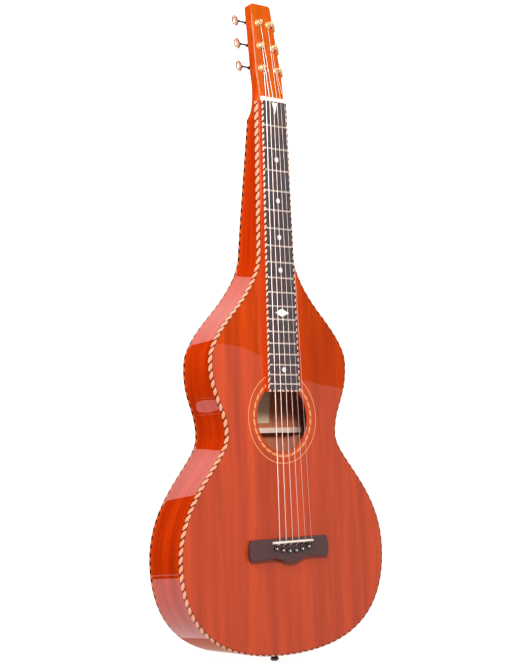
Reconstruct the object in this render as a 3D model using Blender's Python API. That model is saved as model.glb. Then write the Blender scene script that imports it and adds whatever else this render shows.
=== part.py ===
# Hollow-neck lap steel guitar, built piece by piece at its real size, in metres.
#
# The guitar lies on its back: +Y points to the headstock, +X to the treble side and +Z up.
# Most pieces are laid out about the nut: x across, v along the body from the nut towards the
# tail, and z up from the soundboard's top face. An empty at the nut carries them, so a point
# (x, v, z) is written to its mesh as (x, -v, z).

import math

import bmesh
import bpy
import numpy as np
from mathutils import Matrix, Vector

# Clearance that touching pieces keep, and how far a cutter runs past what it cuts
GAP = 0.0003
CUT_PAST = 0.01

# Strings and frets
SCALE_LENGTH = 0.635
FRET_COUNT = 18
FRET_WIDTH = 0.0024
FRET_HEIGHT = 0.0010
STRING_DIAMETERS = (0.00132, 0.00107, 0.00081, 0.00061, 0.00043, 0.00033)  # bass to treble
NUT_SPREAD = 0.037  # between the outer strings at the nut
SADDLE_SPREAD = 0.0622  # between the outer strings at the saddle

# Body outline: half widths, and their distances from the nut, which grow with the scale
NECK_HALF_WIDTH = 0.0280
NECK_ROOT = 0.3543 * SCALE_LENGTH
NECK_ROOT_HALF_WIDTH = 0.0337
SHOULDER = 0.4846 * SCALE_LENGTH
SHOULDER_HALF_WIDTH = 0.0848
SHOULDER_ANGLE = 45.9
UPPER_BOUT = 0.6000 * SCALE_LENGTH
UPPER_BOUT_HALF_WIDTH = 0.1315
WAIST = 0.7606 * SCALE_LENGTH
WAIST_HALF_WIDTH = 0.1053
LOWER_BOUT = 1.0315 * SCALE_LENGTH
LOWER_BOUT_HALF_WIDTH = 0.1948
TAIL = 1.2512 * SCALE_LENGTH
# How far each curve runs on along its tangent before it turns, before and after each station
ROOT_RUN = 0.031
SHOULDER_RUN_IN = 0.021
SHOULDER_RUN_OUT = 0.060
UPPER_RUN_IN = 0.014
UPPER_RUN_OUT = 0.049
WAIST_RUN_IN = 0.040
WAIST_RUN_OUT = 0.036
LOWER_RUN_IN = 0.091
LOWER_RUN_OUT = 0.080
TAIL_RUN_IN = 0.146

# Body depth, from the soundboard's top to the back's underside
BODY_DEPTH = 0.0710
# (from the nut, depth)
DEPTH_STEPS = ((0.0240, 0.0229), (0.3780 * SCALE_LENGTH, 0.0495), (0.5512 * SCALE_LENGTH, 0.0578))
FLAT_BACK = 0.7717 * SCALE_LENGTH  # the back is level from here to the tail
SOUNDBOARD_THICKNESS = 0.0028
BACK_THICKNESS = 0.0028
SIDE_THICKNESS = 0.0023
BINDING_WIDTH = 0.0026
BINDING_HEIGHT = 0.0070
LINING_WIDTH = 0.0050
LINING_HEIGHT = 0.0080
LINING_LIP = 0.0020  # the lining's width at its thin edge

# Soundhole and rosette
HOLE_CENTRE = 0.7219 * SCALE_LENGTH
HOLE_RADIUS = 0.0490
ROPE_RING_RADIUS = 0.0555
ROPE_RING_WIDTH = 0.0030
LINE_RING_RADIUS = 0.0655
LINE_RING_WIDTH = 0.0012
INLAY_THICKNESS = 0.0012
ROSETTE_RINGS = (("rosette_rope_ring", ROPE_RING_RADIUS, ROPE_RING_WIDTH),
                 ("rosette_line_ring", LINE_RING_RADIUS, LINE_RING_WIDTH))
HOLE_SIDES = 36

# Fretboard and nut
BOARD_THICKNESS = 0.0067
BOARD_END = 0.6638 * SCALE_LENGTH
BOARD_HALF_WIDTH_AT_NUT = 0.0240
BOARD_HALF_WIDTH_AT_END = 0.0305
BOARD_BINDING_WIDTH = 0.0026
NUT_LENGTH = 0.0060
NUT_HEIGHT = 0.0091  # above the soundboard, at the fretboard
NUT_FALL = 0.0018  # how much lower its headstock side is
NUT_NOTCH_DEPTH = 0.0008

# Bridge, saddle and pins
BRIDGE_FRONT = SCALE_LENGTH - 0.0055
BRIDGE_BACK = SCALE_LENGTH + 0.0240
BRIDGE_POINT = SCALE_LENGTH + 0.0295  # tip of the middle bump
BRIDGE_HOLLOW = 0.0028  # how far the back edge draws in beside the bump
BRIDGE_HALF_LENGTH = 0.0735
BRIDGE_BULGE = 0.0040  # how far each end bows outwards
BRIDGE_BUMP_HALF_WIDTH = 0.0300
BRIDGE_HEIGHT = 0.0090
BRIDGE_WING_HEIGHT = 0.0060
BRIDGE_DECK_HALF_LENGTH = 0.0430  # the full-height middle
SADDLE_HALF_LENGTH = 0.0400
SADDLE_WIDTH = 0.0030
SADDLE_HEIGHT = 0.0175  # above the soundboard
SADDLE_SLOT_DEPTH = 0.0045
PIN_ROW = 0.0085  # from the saddle to the outer pins
PIN_ROW_BOW = 0.0042  # the middle pins sit this much further back
PIN_SHANK_RADIUS = 0.0023
PIN_HEAD_RADIUS = 0.0034
PIN_HEAD_HEIGHT = 0.0042
PIN_LENGTH = 0.0180  # below the bridge's top
BRIDGE_PLATE_FRONT = SCALE_LENGTH - 0.0090
BRIDGE_PLATE_BACK = SCALE_LENGTH + 0.0330
BRIDGE_PLATE_THICKNESS = 0.0025
BALL_RADIUS = 0.0019

# Braces
BRACE_WIDTH = 0.0075
TOP_BRACE_HEIGHT = 0.0130
BACK_BRACE_HEIGHT = 0.0120
BRACE_END_HEIGHT = 0.0035
BRACE_TAPER = 0.0300
X_CROSSING = HOLE_CENTRE + 0.0976
X_REACH_UP = 0.1050  # along each leg, from the crossing to its upper end
X_REACH_DOWN = 0.2150
UPPER_BRACE = HOLE_CENTRE - 0.0884
# (place, half length, slant)
TONE_BARS = ((1.1024 * SCALE_LENGTH, 0.0900, 12.0), (1.1685 * SCALE_LENGTH, 0.0800, 12.0))
BACK_BRACES = (0.5039 * SCALE_LENGTH, HOLE_CENTRE + 0.0166, 1.0236 * SCALE_LENGTH)
BRACE_END_SPACE = 0.0008

# End blocks and end pin
HEEL_END = 0.0240
HEEL_BLOCK_END = 0.0450
TAIL_BLOCK_HALF_WIDTH = 0.0400
TAIL_BLOCK_THICKNESS = 0.0180
END_PIN_RADIUS = 0.0062
END_PIN_HEAD = 0.0110
END_PIN_SHANK_RADIUS = 0.0040
END_PIN_LENGTH = 0.0240

# Label on the inside of the back
LABEL_HALF_WIDTH = 0.0340
LABEL_TOP = HOLE_CENTRE - 0.0464
LABEL_BOTTOM = HOLE_CENTRE + 0.0056
LABEL_THICKNESS = 0.0003

# Headstock
HEAD_LENGTH = 0.1510
HEAD_TILT = 7.5
HEAD_RISE = 0.0032  # its face above the soundboard, at the nut
HEAD_THICKNESS = 0.0142
HEAD_THICKNESS_AT_NUT = 0.0158
HEAD_HALF_WIDTH_AT_NUT = 0.0240
HEAD_WIDEST = 0.0480
HEAD_WIDEST_HALF_WIDTH = 0.0250
HEAD_TIP_HALF_WIDTH = 0.0195
HEAD_CORNER = 0.0040
HEAD_CHAMFER = 0.0009
HEEL_FLARE = 0.0300  # length over which its underside widens to the neck
FERRULE_RADIUS = 0.0047
FERRULE_HEIGHT = 0.0009

# Tuning machines
POST_ROWS = ((0.0505, 0.0152), (0.0855, 0.0128), (0.1212, 0.0104))  # along the head, off its middle
POST_RADIUS = 0.0026
POST_HEIGHT = 0.0100  # above the headstock's face
POST_HOLE_HEIGHT = 0.0078
HUB_HEIGHT = 0.0011  # how far the post stands out below its wheel
LOW_TURN_HEIGHT = 0.0027  # where a string leaves its post
WINDING_TURNS = 2  # whole turns, before the part turn that brings a string to its hole
WINDING_PITCH = 0.0018
TURN_STEPS = 8
STRING_TAIL = 0.0022  # how far a string's end stands out beyond its post
WHEEL_TEETH = 14
WHEEL_RADIUS = 0.00434  # pitch circle
WORM_RADIUS = 0.00206
TOOTH_HEIGHT = 0.00045  # above the pitch circle
TOOTH_ROOT = 0.00072  # below it
TOOTH_PLAY = 0.00036  # taken off each tooth and thread
PRESSURE_ANGLE = 20
WHEEL_THICKNESS = 0.0034
WORM_TURNS = 2.6
WORM_STEPS = 10  # sections in each turn of the thread
SHAFT_RADIUS = 0.0013
MACHINE_PLATE_THICKNESS = 0.0011
PLATE_TO_TIP = 0.0128  # from the post to the plate's end by the tip
PLATE_TO_NUT = 0.0118
PLATE_CORNER = 0.0030
PLATE_MARGIN = 0.0004  # from a lug to the plate's edge
LUG_THICKNESS = 0.0016
LUG_HALF_WIDTH = 0.0030
LUG_STAND = 0.0008  # how far the lugs reach below the buttons
BUTTON_HALF_WIDTH = 0.0085
BUTTON_HALF_LENGTH = 0.0052
BUTTON_HALF_THICKNESS = 0.0031
BUTTON_REACH = 0.0162  # its middle, outside the headstock's edge

# Values that follow from the ones above
NUT_Y = (TAIL + END_PIN_HEAD - HEAD_LENGTH * math.cos(math.radians(HEAD_TILT))) / 2
INNER = max(SIDE_THICKNESS, BINDING_WIDTH) + GAP  # from the outline to what lies inside the rim
TOP_INSIDE = -SOUNDBOARD_THICKNESS
TILT = math.radians(HEAD_TILT)
LEAD = 2 * math.pi * WHEEL_RADIUS / WHEEL_TEETH
WORM_OFFSET = WHEEL_RADIUS + WORM_RADIUS
PLATE_UNDER = -HEAD_THICKNESS - GAP - MACHINE_PLATE_THICKNESS
WORM_DEPTH = PLATE_UNDER - GAP - max(WORM_RADIUS + TOOTH_HEIGHT, WHEEL_THICKNESS / 2)
# The bridge plate reaches to the X brace's legs, which lie at 45 degrees
BRIDGE_PLATE_HALF_LENGTH = (BRIDGE_PLATE_FRONT - X_CROSSING - BRACE_WIDTH / math.sqrt(2) - GAP)


def finish(name, colour, roughness, metallic=0.0):
    """A Principled material from an sRGB hex colour."""
    channels = [int(colour[i:i + 2], 16) / 255 for i in (0, 2, 4)]
    linear = [c / 12.92 if c <= 0.04045 else ((c + 0.055) / 1.055) ** 2.4 for c in channels]
    material = bpy.data.materials.new(name)
    material.use_nodes = True
    shader = material.node_tree.nodes["Principled BSDF"]
    shader.inputs["Base Color"].default_value = (*linear, 1)
    shader.inputs["Roughness"].default_value = roughness
    shader.inputs["Metallic"].default_value = metallic
    material.diffuse_color = (*linear, 1)
    return material


def bezier(start, start_pull, end_pull, end, steps):
    """Points along a cubic curve, without its first one."""
    t = np.linspace(0, 1, steps + 1)[1:, None]
    ends = [np.array(p, float) for p in (start, start_pull, end_pull, end)]
    weights = ((1 - t) ** 3, 3 * (1 - t) ** 2 * t, 3 * (1 - t) * t ** 2, t ** 3)
    return sum(w * p for w, p in zip(weights, ends))


def half_outline():
    """The treble half of the body's edge as (x, v) points, from the nut round to the tail."""
    slope = math.atan2(NECK_ROOT_HALF_WIDTH - NECK_HALF_WIDTH, NECK_ROOT)
    turn = math.radians(SHOULDER_ANGLE)
    along_neck = np.array([math.sin(slope), math.cos(slope)])
    along_shoulder = np.array([math.sin(turn), math.cos(turn)])
    down, across = np.array([0, 1.0]), np.array([1.0, 0])
    nut = np.array([NECK_HALF_WIDTH, 0])
    heel = nut + (np.array([NECK_ROOT_HALF_WIDTH, NECK_ROOT]) - nut) * HEEL_END / NECK_ROOT
    root = np.array([NECK_ROOT_HALF_WIDTH, NECK_ROOT])
    shoulder = np.array([SHOULDER_HALF_WIDTH, SHOULDER])
    upper = np.array([UPPER_BOUT_HALF_WIDTH, UPPER_BOUT])
    waist = np.array([WAIST_HALF_WIDTH, WAIST])
    lower = np.array([LOWER_BOUT_HALF_WIDTH, LOWER_BOUT])
    tail = np.array([0, TAIL])
    neck = heel + (root - heel) * np.linspace(0, 1, 5)[:, None]
    return np.concatenate([
        nut[None],
        neck,
        bezier(root, root + ROOT_RUN * along_neck,
               shoulder - SHOULDER_RUN_IN * along_shoulder, shoulder, 5),
        bezier(shoulder, shoulder + SHOULDER_RUN_OUT * along_shoulder,
               upper - UPPER_RUN_IN * down, upper, 5),
        bezier(upper, upper + UPPER_RUN_OUT * down, waist - WAIST_RUN_IN * down, waist, 6),
        bezier(waist, waist + WAIST_RUN_OUT * down, lower - LOWER_RUN_IN * down, lower, 8),
        bezier(lower, lower + LOWER_RUN_OUT * down, tail + TAIL_RUN_IN * across, tail, 12),
    ])


def inset(path, distance):
    """An outline moved inwards, each of its facets parallel to the old one."""
    step = np.diff(path, axis=0)
    normal = np.stack([step[:, 1], -step[:, 0]], 1)
    normal /= np.linalg.norm(normal, axis=1)[:, None]
    before = np.concatenate([normal[:1], normal])
    after = np.concatenate([normal, normal[-1:] * (-1, 1)])
    middle = before + after
    middle /= np.linalg.norm(middle, axis=1)[:, None]
    mitre = (middle * after).sum(1)[:, None]
    return path - middle / mitre * distance


def depth(v):
    """Body depth at a distance from the nut: a smooth curve, level beyond FLAT_BACK."""
    steps = list(DEPTH_STEPS) + [(FLAT_BACK, BODY_DEPTH)]
    at = np.array([s[0] for s in steps])
    value = np.array([s[1] for s in steps])
    rise = np.diff(value) / np.diff(at)
    slope = np.concatenate([rise[:1], (rise[:-1] + rise[1:]) / 2, [0]])
    v = np.clip(np.asarray(v, float), at[0], at[-1])
    i = np.clip(np.searchsorted(at, v, side="right") - 1, 0, len(rise) - 1)
    span = at[i + 1] - at[i]
    t = (v - at[i]) / span
    return (value[i] * (1 + 2 * t) * (1 - t) ** 2 + slope[i] * span * t * (1 - t) ** 2
            + value[i + 1] * t ** 2 * (3 - 2 * t) + slope[i + 1] * span * t ** 2 * (t - 1))


def back_inside(v):
    """Height of the back plate's inner face."""
    return BACK_THICKNESS - depth(v)


def station(path, column, limit):
    """How far along a path, counted in points, one of its coordinates passes a limit."""
    value = path[:, column]
    crossed = np.nonzero((value[:-1] - limit) * (value[1:] - limit) <= 0)[0]
    first = crossed[0] if column == 1 else crossed[-1]
    return first + (limit - value[first]) / (value[first + 1] - value[first])


def stretch(path, start, end):
    """The part of a path between two stations, which needn't be whole points."""
    whole = np.arange(math.floor(start) + 1, math.ceil(end))
    at = np.concatenate([[start], whole, [end]])
    index = np.arange(len(path))
    return np.stack([np.interp(at, index, path[:, k]) for k in range(path.shape[1])], 1)


def body_point(x, v, z):
    return (x, -v, z)


def new_object(name, mesh, material, parent):
    mesh.materials.clear()
    mesh.materials.append(material)
    made = bpy.data.objects.new(name, mesh)
    bpy.context.collection.objects.link(made)
    made.parent = parent
    return made


def solid(name, points, faces, material, parent=None, smooth_angle=None):
    """An object from points and faces, cleaned and with its faces pointing out."""
    mesh = bpy.data.meshes.new(name)
    mesh.from_pydata([tuple(p) for p in points], [], faces)
    shape = bmesh.new()
    shape.from_mesh(mesh)
    bmesh.ops.remove_doubles(shape, verts=shape.verts, dist=1e-7)
    bmesh.ops.recalc_face_normals(shape, faces=shape.faces)
    shape.to_mesh(mesh)
    shape.free()
    if smooth_angle:
        mesh.shade_smooth()
        mesh.set_sharp_from_angle(angle=math.radians(smooth_angle))
    return new_object(name, mesh, material, parent)


def loft(name, sections, material, parent=None, closed=False, smooth_angle=None):
    """A solid skinned over a row of sections with the same number of points each."""
    count, size = len(sections), len(sections[0])
    points = [p for section in sections for p in section]
    faces = []
    for i in range(count if closed else count - 1):
        a, b = i * size, (i + 1) % count * size
        for k in range(size):
            n = (k + 1) % size
            faces.append((a + k, a + n, b + n, b + k))
    if not closed:
        faces.append(tuple(range(size)))
        faces.append(tuple(range((count - 1) * size, count * size)))
    return solid(name, points, faces, material, parent, smooth_angle)


def extruded(name, outline, low, high, material, parent=None):
    """A flat outline of (x, v) points, raised between two heights."""
    sections = [[body_point(x, v, z) for x, v in outline] for z in (low, high)]
    return loft(name, sections, material, parent)


def rectangle(half_width, start, end):
    """Corners of a rectangle across the body's middle, between two distances from the nut."""
    return [(-half_width, start), (half_width, start), (half_width, end), (-half_width, end)]


def turned(name, profile, material, parent=None, sides=12, phase=0.0):
    """A profile of (radius, height) points turned about the local Z axis."""
    angles = phase + np.arange(sides) * 2 * math.pi / sides
    points, rings = [], []
    for radius, height in profile:
        if radius == 0:
            rings.append([len(points)] * sides)
            points.append((0, 0, height))
        else:
            rings.append(list(range(len(points), len(points) + sides)))
            points.extend((radius * math.cos(a), radius * math.sin(a), height) for a in angles)
    faces = []
    for lower, upper in zip(rings, rings[1:]):
        for k in range(sides):
            n = (k + 1) % sides
            ring = [lower[k], lower[n], upper[n], upper[k]]
            face = [p for i, p in enumerate(ring) if p not in ring[:i]]
            if len(face) > 2:
                faces.append(face)
    for ring in (rings[0], rings[-1]):
        if len(set(ring)) > 1:
            faces.append(ring)
    return solid(name, points, faces, material, parent, smooth_angle=35)


def combine(target, tool, operation):
    """Add a live Boolean to the target; the tool is then only a guide."""
    change = target.modifiers.new(operation.lower(), "BOOLEAN")
    change.operation = operation
    change.object = tool
    change.solver = "EXACT"
    tool.hide_render = True
    tool.display_type = "WIRE"
    return target


def rim_strip(name, outer, inner, top, bottom, material, parent):
    """A strip along one or both sides of the body, between two matching paths."""
    sections = []
    for (xo, vo), (xi, vi) in zip(outer, inner):
        sections.append([body_point(xo, vo, top(vo)), body_point(xi, vi, top(vi)),
                         body_point(xi, vi, bottom(vi)), body_point(xo, vo, bottom(vo))])
    return loft(name, sections, material, parent)


def both_sides(path):
    """A treble path carried on round the tail and back up the bass side."""
    return np.concatenate([path, path[-2::-1] * (-1, 1)])


def make_soundboard(body, wood, outline):
    rim = inset(outline, BINDING_WIDTH + GAP)
    rim = stretch(rim, station(rim, 1, GAP), len(rim) - 1)
    loop = np.concatenate([rim, rim[-2::-1] * (-1, 1)])
    board = extruded("soundboard", loop, TOP_INSIDE, 0, wood, body)
    hole = turned("soundhole_cutter", [(HOLE_RADIUS, TOP_INSIDE - CUT_PAST), (HOLE_RADIUS, CUT_PAST)],
                  wood, body, HOLE_SIDES)
    hole.location = body_point(0, HOLE_CENTRE, 0)
    combine(board, hole, "DIFFERENCE")
    for name, radius, width in ROSETTE_RINGS:
        groove = ring(name + "_groove", radius, width + 2 * GAP, -INLAY_THICKNESS - GAP, CUT_PAST,
                      wood, body)
        combine(board, groove, "DIFFERENCE")
    return board


def ring(name, radius, width, low, high, material, body):
    """A flat ring about the soundhole's middle."""
    inner, outer = radius - width / 2, radius + width / 2
    angles = np.arange(HOLE_SIDES) * 2 * math.pi / HOLE_SIDES
    sections = []
    for a in angles:
        c, s = math.cos(a), math.sin(a)
        sections.append([(inner * c, inner * s, low), (outer * c, outer * s, low),
                         (outer * c, outer * s, high), (inner * c, inner * s, high)])
    made = loft(name, sections, material, body, closed=True)
    made.location = body_point(0, HOLE_CENTRE, 0)
    return made


def make_back(body, wood, outline):
    """The back plate: level across, and bent along the body's taper."""
    rim = inset(outline, BINDING_WIDTH + GAP)
    rim = stretch(rim, station(rim, 1, HEEL_END + GAP), len(rim) - 1)
    sections = []
    for x, v in rim[:-1]:
        low, high = -depth(v), back_inside(v)
        sections.append([body_point(-x, v, low), body_point(x, v, low),
                         body_point(x, v, high), body_point(-x, v, high)])
    return loft("back_plate", sections, wood, body)


def make_rim(body, wood, rope, spruce, outline):
    """Sides, both bindings and the four linings."""
    outer_end = len(outline) - 1
    wall = inset(outline, SIDE_THICKNESS)
    purfling = inset(outline, BINDING_WIDTH)

    def span(path_a, path_b, start, end):
        return stretch(path_a, start, end), stretch(path_b, start, end)

    def side_top(v):
        return -BINDING_HEIGHT - GAP

    def side_bottom(v):
        return BINDING_HEIGHT + GAP - depth(v)

    start = station(outline, 1, HEEL_END + GAP)
    end = station(outline, 0, GAP / 2)
    outer, inner = span(outline, wall, start, end)
    reach = END_PIN_LENGTH + CUT_PAST
    pin_hole = turned("end_pin_hole", [(END_PIN_SHANK_RADIUS + GAP, -reach),
                                       (END_PIN_SHANK_RADIUS + GAP, reach)], wood, body, 12)
    pin_hole.rotation_euler = (math.pi / 2, 0, 0)
    pin_hole.location = body_point(0, TAIL, -BODY_DEPTH / 2)
    for name, side in (("side_treble", 1), ("side_bass", -1)):
        made = rim_strip(name, outer * (side, 1), inner * (side, 1), side_top, side_bottom,
                         wood, body)
        combine(made, pin_hole, "DIFFERENCE")

    outer, inner = span(outline, purfling, station(outline, 1, GAP), outer_end)
    rim_strip("top_binding", both_sides(outer), both_sides(inner), lambda v: 0.0,
              lambda v: -BINDING_HEIGHT, rope, body)
    outer, inner = span(outline, purfling, start, outer_end)
    rim_strip("back_binding", both_sides(outer), both_sides(inner),
              lambda v: BINDING_HEIGHT - depth(v), lambda v: -depth(v), rope, body)

    lining_outer = inset(outline, INNER)
    lining_inner = inset(outline, INNER + LINING_WIDTH)
    lip_inner = inset(outline, INNER + LINING_LIP)
    start = station(lining_inner, 1, HEEL_BLOCK_END + GAP)
    end = station(lining_inner, 0, TAIL_BLOCK_HALF_WIDTH + GAP)
    paths = [stretch(p, start, end) for p in (lining_outer, lining_inner, lip_inner)]
    for side_name, side in (("treble", 1), ("bass", -1)):
        for level in ("top", "back"):
            sections = []
            for (xo, vo), (xi, vi), (xl, vl) in zip(*paths):
                if level == "top":
                    seat = [TOP_INSIDE - GAP] * 2
                    edge = [TOP_INSIDE - GAP - LINING_HEIGHT] * 2
                else:
                    seat = [back_inside(vo) + GAP, back_inside(vi) + GAP]
                    edge = [back_inside(vo) + GAP + LINING_HEIGHT,
                            back_inside(vl) + GAP + LINING_HEIGHT]
                sections.append([body_point(side * xo, vo, seat[0]),
                                 body_point(side * xi, vi, seat[1]),
                                 body_point(side * xl, vl, edge[1]),
                                 body_point(side * xo, vo, edge[0])])
            loft(f"{level}_lining_{side_name}", sections, spruce, body)
    return pin_hole


def make_rosette(body, rope, maple):
    for (name, radius, width), material in zip(ROSETTE_RINGS, (rope, maple)):
        ring(name, radius, width, -INLAY_THICKNESS, 0, material, body)


def brace(name, centre, direction, reach_back, reach_on, seat, rise, height, material, body,
          notch=None):
    """A glued bar: full height in the middle, thinned towards its ends.

    It lies along a direction in the (x, v) plane and stands on a seat that may slope along v.
    rise is -1 under the soundboard and +1 on the back. A notch is (at, half width, side, depth).
    """
    along = np.array(direction, float) / np.linalg.norm(direction)
    across = np.array([-along[1], along[0]])
    spots = [(-reach_back, BRACE_END_HEIGHT), (-reach_back + BRACE_TAPER, height),
             (reach_on - BRACE_TAPER, height), (reach_on, BRACE_END_HEIGHT)]
    low = [(s, 0.0) for s, _ in spots]
    high = list(spots)
    if notch:
        at, half, from_seat, cut = notch
        if from_seat:
            low[2:2] = [(at - half, 0), (at - half, cut), (at + half, cut), (at + half, 0)]
        else:
            high[2:2] = [(at - half, height), (at - half, height - cut),
                         (at + half, height - cut), (at + half, height)]
    profile = low + high[::-1]
    sections = []
    for shift in (-BRACE_WIDTH / 2, BRACE_WIDTH / 2):
        section = []
        for s, h in profile:
            x, v = np.array(centre) + s * along + shift * across
            section.append(body_point(x, v, seat(v) + rise * h))
        sections.append(section)
    return loft(name, sections, material, body)


def make_braces(body, spruce, outline):
    lining = inset(outline, INNER + LINING_WIDTH + BRACE_END_SPACE)

    def half_width(v):
        return float(np.interp(station(lining, 1, v), np.arange(len(lining)), lining[:, 0]))

    def top_seat(v):
        return TOP_INSIDE - GAP

    def back_seat(v):
        return float(back_inside(v)) + GAP

    half = TOP_BRACE_HEIGHT / 2 + GAP / 2
    room = BRACE_WIDTH / 2 + GAP
    for name, x, from_seat in (("x_brace_bass_to_treble", 1, True),
                               ("x_brace_treble_to_bass", -1, False)):
        brace(name, (0, X_CROSSING), (x, 1), X_REACH_UP, X_REACH_DOWN, top_seat, -1,
              TOP_BRACE_HEIGHT, spruce, body, notch=(0, room, from_seat, half))
    reach = min(half_width(UPPER_BRACE - BRACE_WIDTH), half_width(UPPER_BRACE + BRACE_WIDTH))
    brace("upper_brace", (0, UPPER_BRACE), (1, 0), reach, reach, top_seat, -1,
          TOP_BRACE_HEIGHT, spruce, body)
    for i, (v, reach, slant) in enumerate(TONE_BARS):
        turn = math.radians(slant)
        brace(f"tone_bar_{i + 1}", (0, v), (math.cos(turn), math.sin(turn)), reach, reach,
              top_seat, -1, TOP_BRACE_HEIGHT, spruce, body)
    for i, v in enumerate(BACK_BRACES):
        reach = min(half_width(v - BRACE_WIDTH), half_width(v + BRACE_WIDTH))
        brace(f"back_brace_{i + 1}", (0, v), (1, 0), reach, reach, back_seat, 1,
              BACK_BRACE_HEIGHT, spruce, body)


def board_half_width(v):
    share = v / BOARD_END
    return BOARD_HALF_WIDTH_AT_NUT + (BOARD_HALF_WIDTH_AT_END - BOARD_HALF_WIDTH_AT_NUT) * share


def fret_place(number):
    return SCALE_LENGTH * (1 - 2 ** (-number / 12))


def make_fretboard(body, ebony, rope):
    """The board with its frets, drawn as one side profile and carried across its taper."""
    end = BOARD_END - BOARD_BINDING_WIDTH - GAP
    crown = ((-0.5, 0.0), (-0.3, 0.8), (0.0, 1.0), (0.3, 0.8), (0.5, 0.0))
    top = [(GAP, BOARD_THICKNESS)]
    for n in range(1, FRET_COUNT + 1):
        top += [(fret_place(n) + FRET_WIDTH * a, BOARD_THICKNESS + FRET_HEIGHT * b)
                for a, b in crown]
    top += [(end, BOARD_THICKNESS)]
    profile = [(GAP, GAP)] + top + [(end, GAP)]
    sections = []
    for side in (-1, 1):
        sections.append([body_point(side * (board_half_width(v) - BOARD_BINDING_WIDTH - GAP), v, z)
                         for v, z in profile])
    loft("fretboard", sections, ebony, body)

    outer = np.array([(board_half_width(GAP), GAP), (board_half_width(BOARD_END), BOARD_END)])
    inner = outer - (BOARD_BINDING_WIDTH, 0)
    inner[1, 1] -= BOARD_BINDING_WIDTH
    inner[1, 0] = board_half_width(inner[1, 1]) - BOARD_BINDING_WIDTH
    outer = np.concatenate([outer, outer[::-1] * (-1, 1)])
    inner = np.concatenate([inner, inner[::-1] * (-1, 1)])
    rim_strip("fretboard_binding", outer, inner, lambda v: BOARD_THICKNESS, lambda v: GAP,
              rope, body)


def string_lines(spread):
    """The strings' places across a bearing, bass first."""
    return [(i / 5 - 0.5) * spread for i in range(6)]


def head_frame():
    """Origin, along and up directions of the headstock's face, about the nut."""
    along = Vector((0, math.cos(TILT), -math.sin(TILT)))
    up = Vector((0, math.sin(TILT), math.cos(TILT)))
    return Vector((0, 0, HEAD_RISE)), along, up


def head_point(x, s, h):
    """A point at s along the headstock's face and h above it."""
    origin, along, up = head_frame()
    point = origin + along * s + up * h
    return (x, point.y, point.z)


def nut_floor(v):
    """Height of the nut's string notches at v, which is negative towards the headstock."""
    return NUT_HEIGHT - NUT_NOTCH_DEPTH + v * NUT_FALL / NUT_LENGTH


def make_nut(body, bone):
    half = BOARD_HALF_WIDTH_AT_NUT
    sections = []
    for v in (-GAP, -GAP - NUT_LENGTH):
        top = nut_floor(v) + NUT_NOTCH_DEPTH
        seat = head_point(0, -v, GAP)[2] + GAP
        section = [(-half, seat), (-half, top)]
        for x, diameter in zip(string_lines(NUT_SPREAD), STRING_DIAMETERS):
            room = diameter / 2 + GAP
            section += [(x - room, top), (x - room, nut_floor(v)),
                        (x + room, nut_floor(v)), (x + room, top)]
        section += [(half, top), (half, seat)]
        sections.append([body_point(x, v, z) for x, z in section])
    loft("nut", sections, bone, body)


def bridge_outline():
    """Half of the bridge seen from above, from the middle of its front edge round to the back."""
    corner = (BRIDGE_HALF_LENGTH, BRIDGE_BACK)
    front = (BRIDGE_HALF_LENGTH - 0.002, BRIDGE_FRONT)
    bow = BRIDGE_HALF_LENGTH + BRIDGE_BULGE
    third = (BRIDGE_BACK - BRIDGE_FRONT) / 3
    foot = (BRIDGE_BUMP_HALF_WIDTH, BRIDGE_BACK - BRIDGE_HOLLOW * 0.7)
    wing_run = (BRIDGE_HALF_LENGTH - BRIDGE_BUMP_HALF_WIDTH) * 0.4
    end = bezier(front, (bow, front[1] + third), (bow, corner[1] - third), corner, 5)
    wing = bezier(corner, (corner[0] - wing_run, BRIDGE_BACK),
                  (foot[0] + wing_run, BRIDGE_BACK - BRIDGE_HOLLOW), foot, 5)
    bump = bezier(foot, (foot[0] * 0.65, BRIDGE_BACK - BRIDGE_HOLLOW * 0.3),
                  (foot[0] * 0.4, BRIDGE_POINT), (0, BRIDGE_POINT), 5)
    return np.concatenate([[(BRIDGE_DECK_HALF_LENGTH, BRIDGE_FRONT), front], end, wing, bump])


def pin_places():
    """Each bridge pin's (x, v)."""
    places = []
    for x in string_lines(SADDLE_SPREAD):
        share = 1 - (2 * x / SADDLE_SPREAD) ** 2
        places.append((x, SCALE_LENGTH + PIN_ROW + PIN_ROW_BOW * share))
    return places


def string_stand(diameter):
    """How far in front of its pin's middle a string rises, clear of the pin's head."""
    return max(PIN_HEAD_RADIUS + diameter / 2, PIN_SHANK_RADIUS + BALL_RADIUS) + GAP


def make_pin_holes(body, wood):
    """One cutter for each pin: a round hole with a string slot towards the saddle."""
    cutters = []
    for i, ((x, v), diameter) in enumerate(zip(pin_places(), STRING_DIAMETERS)):
        radius = PIN_SHANK_RADIUS + GAP
        room = diameter / 2 + GAP
        slot = string_stand(diameter) + room
        open_angle = math.asin(room / radius)
        angles = np.linspace(-math.pi / 2 + open_angle, 1.5 * math.pi - open_angle, 13)
        outline = [(x + radius * math.cos(a), v + radius * math.sin(a)) for a in angles]
        outline += [(x - room, v - slot), (x + room, v - slot)]
        cutters.append(extruded(f"pin_hole_cutter_{i + 1}", outline, BRIDGE_HEIGHT - PIN_LENGTH,
                                BRIDGE_HEIGHT + CUT_PAST, wood, body))
    return cutters


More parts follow.
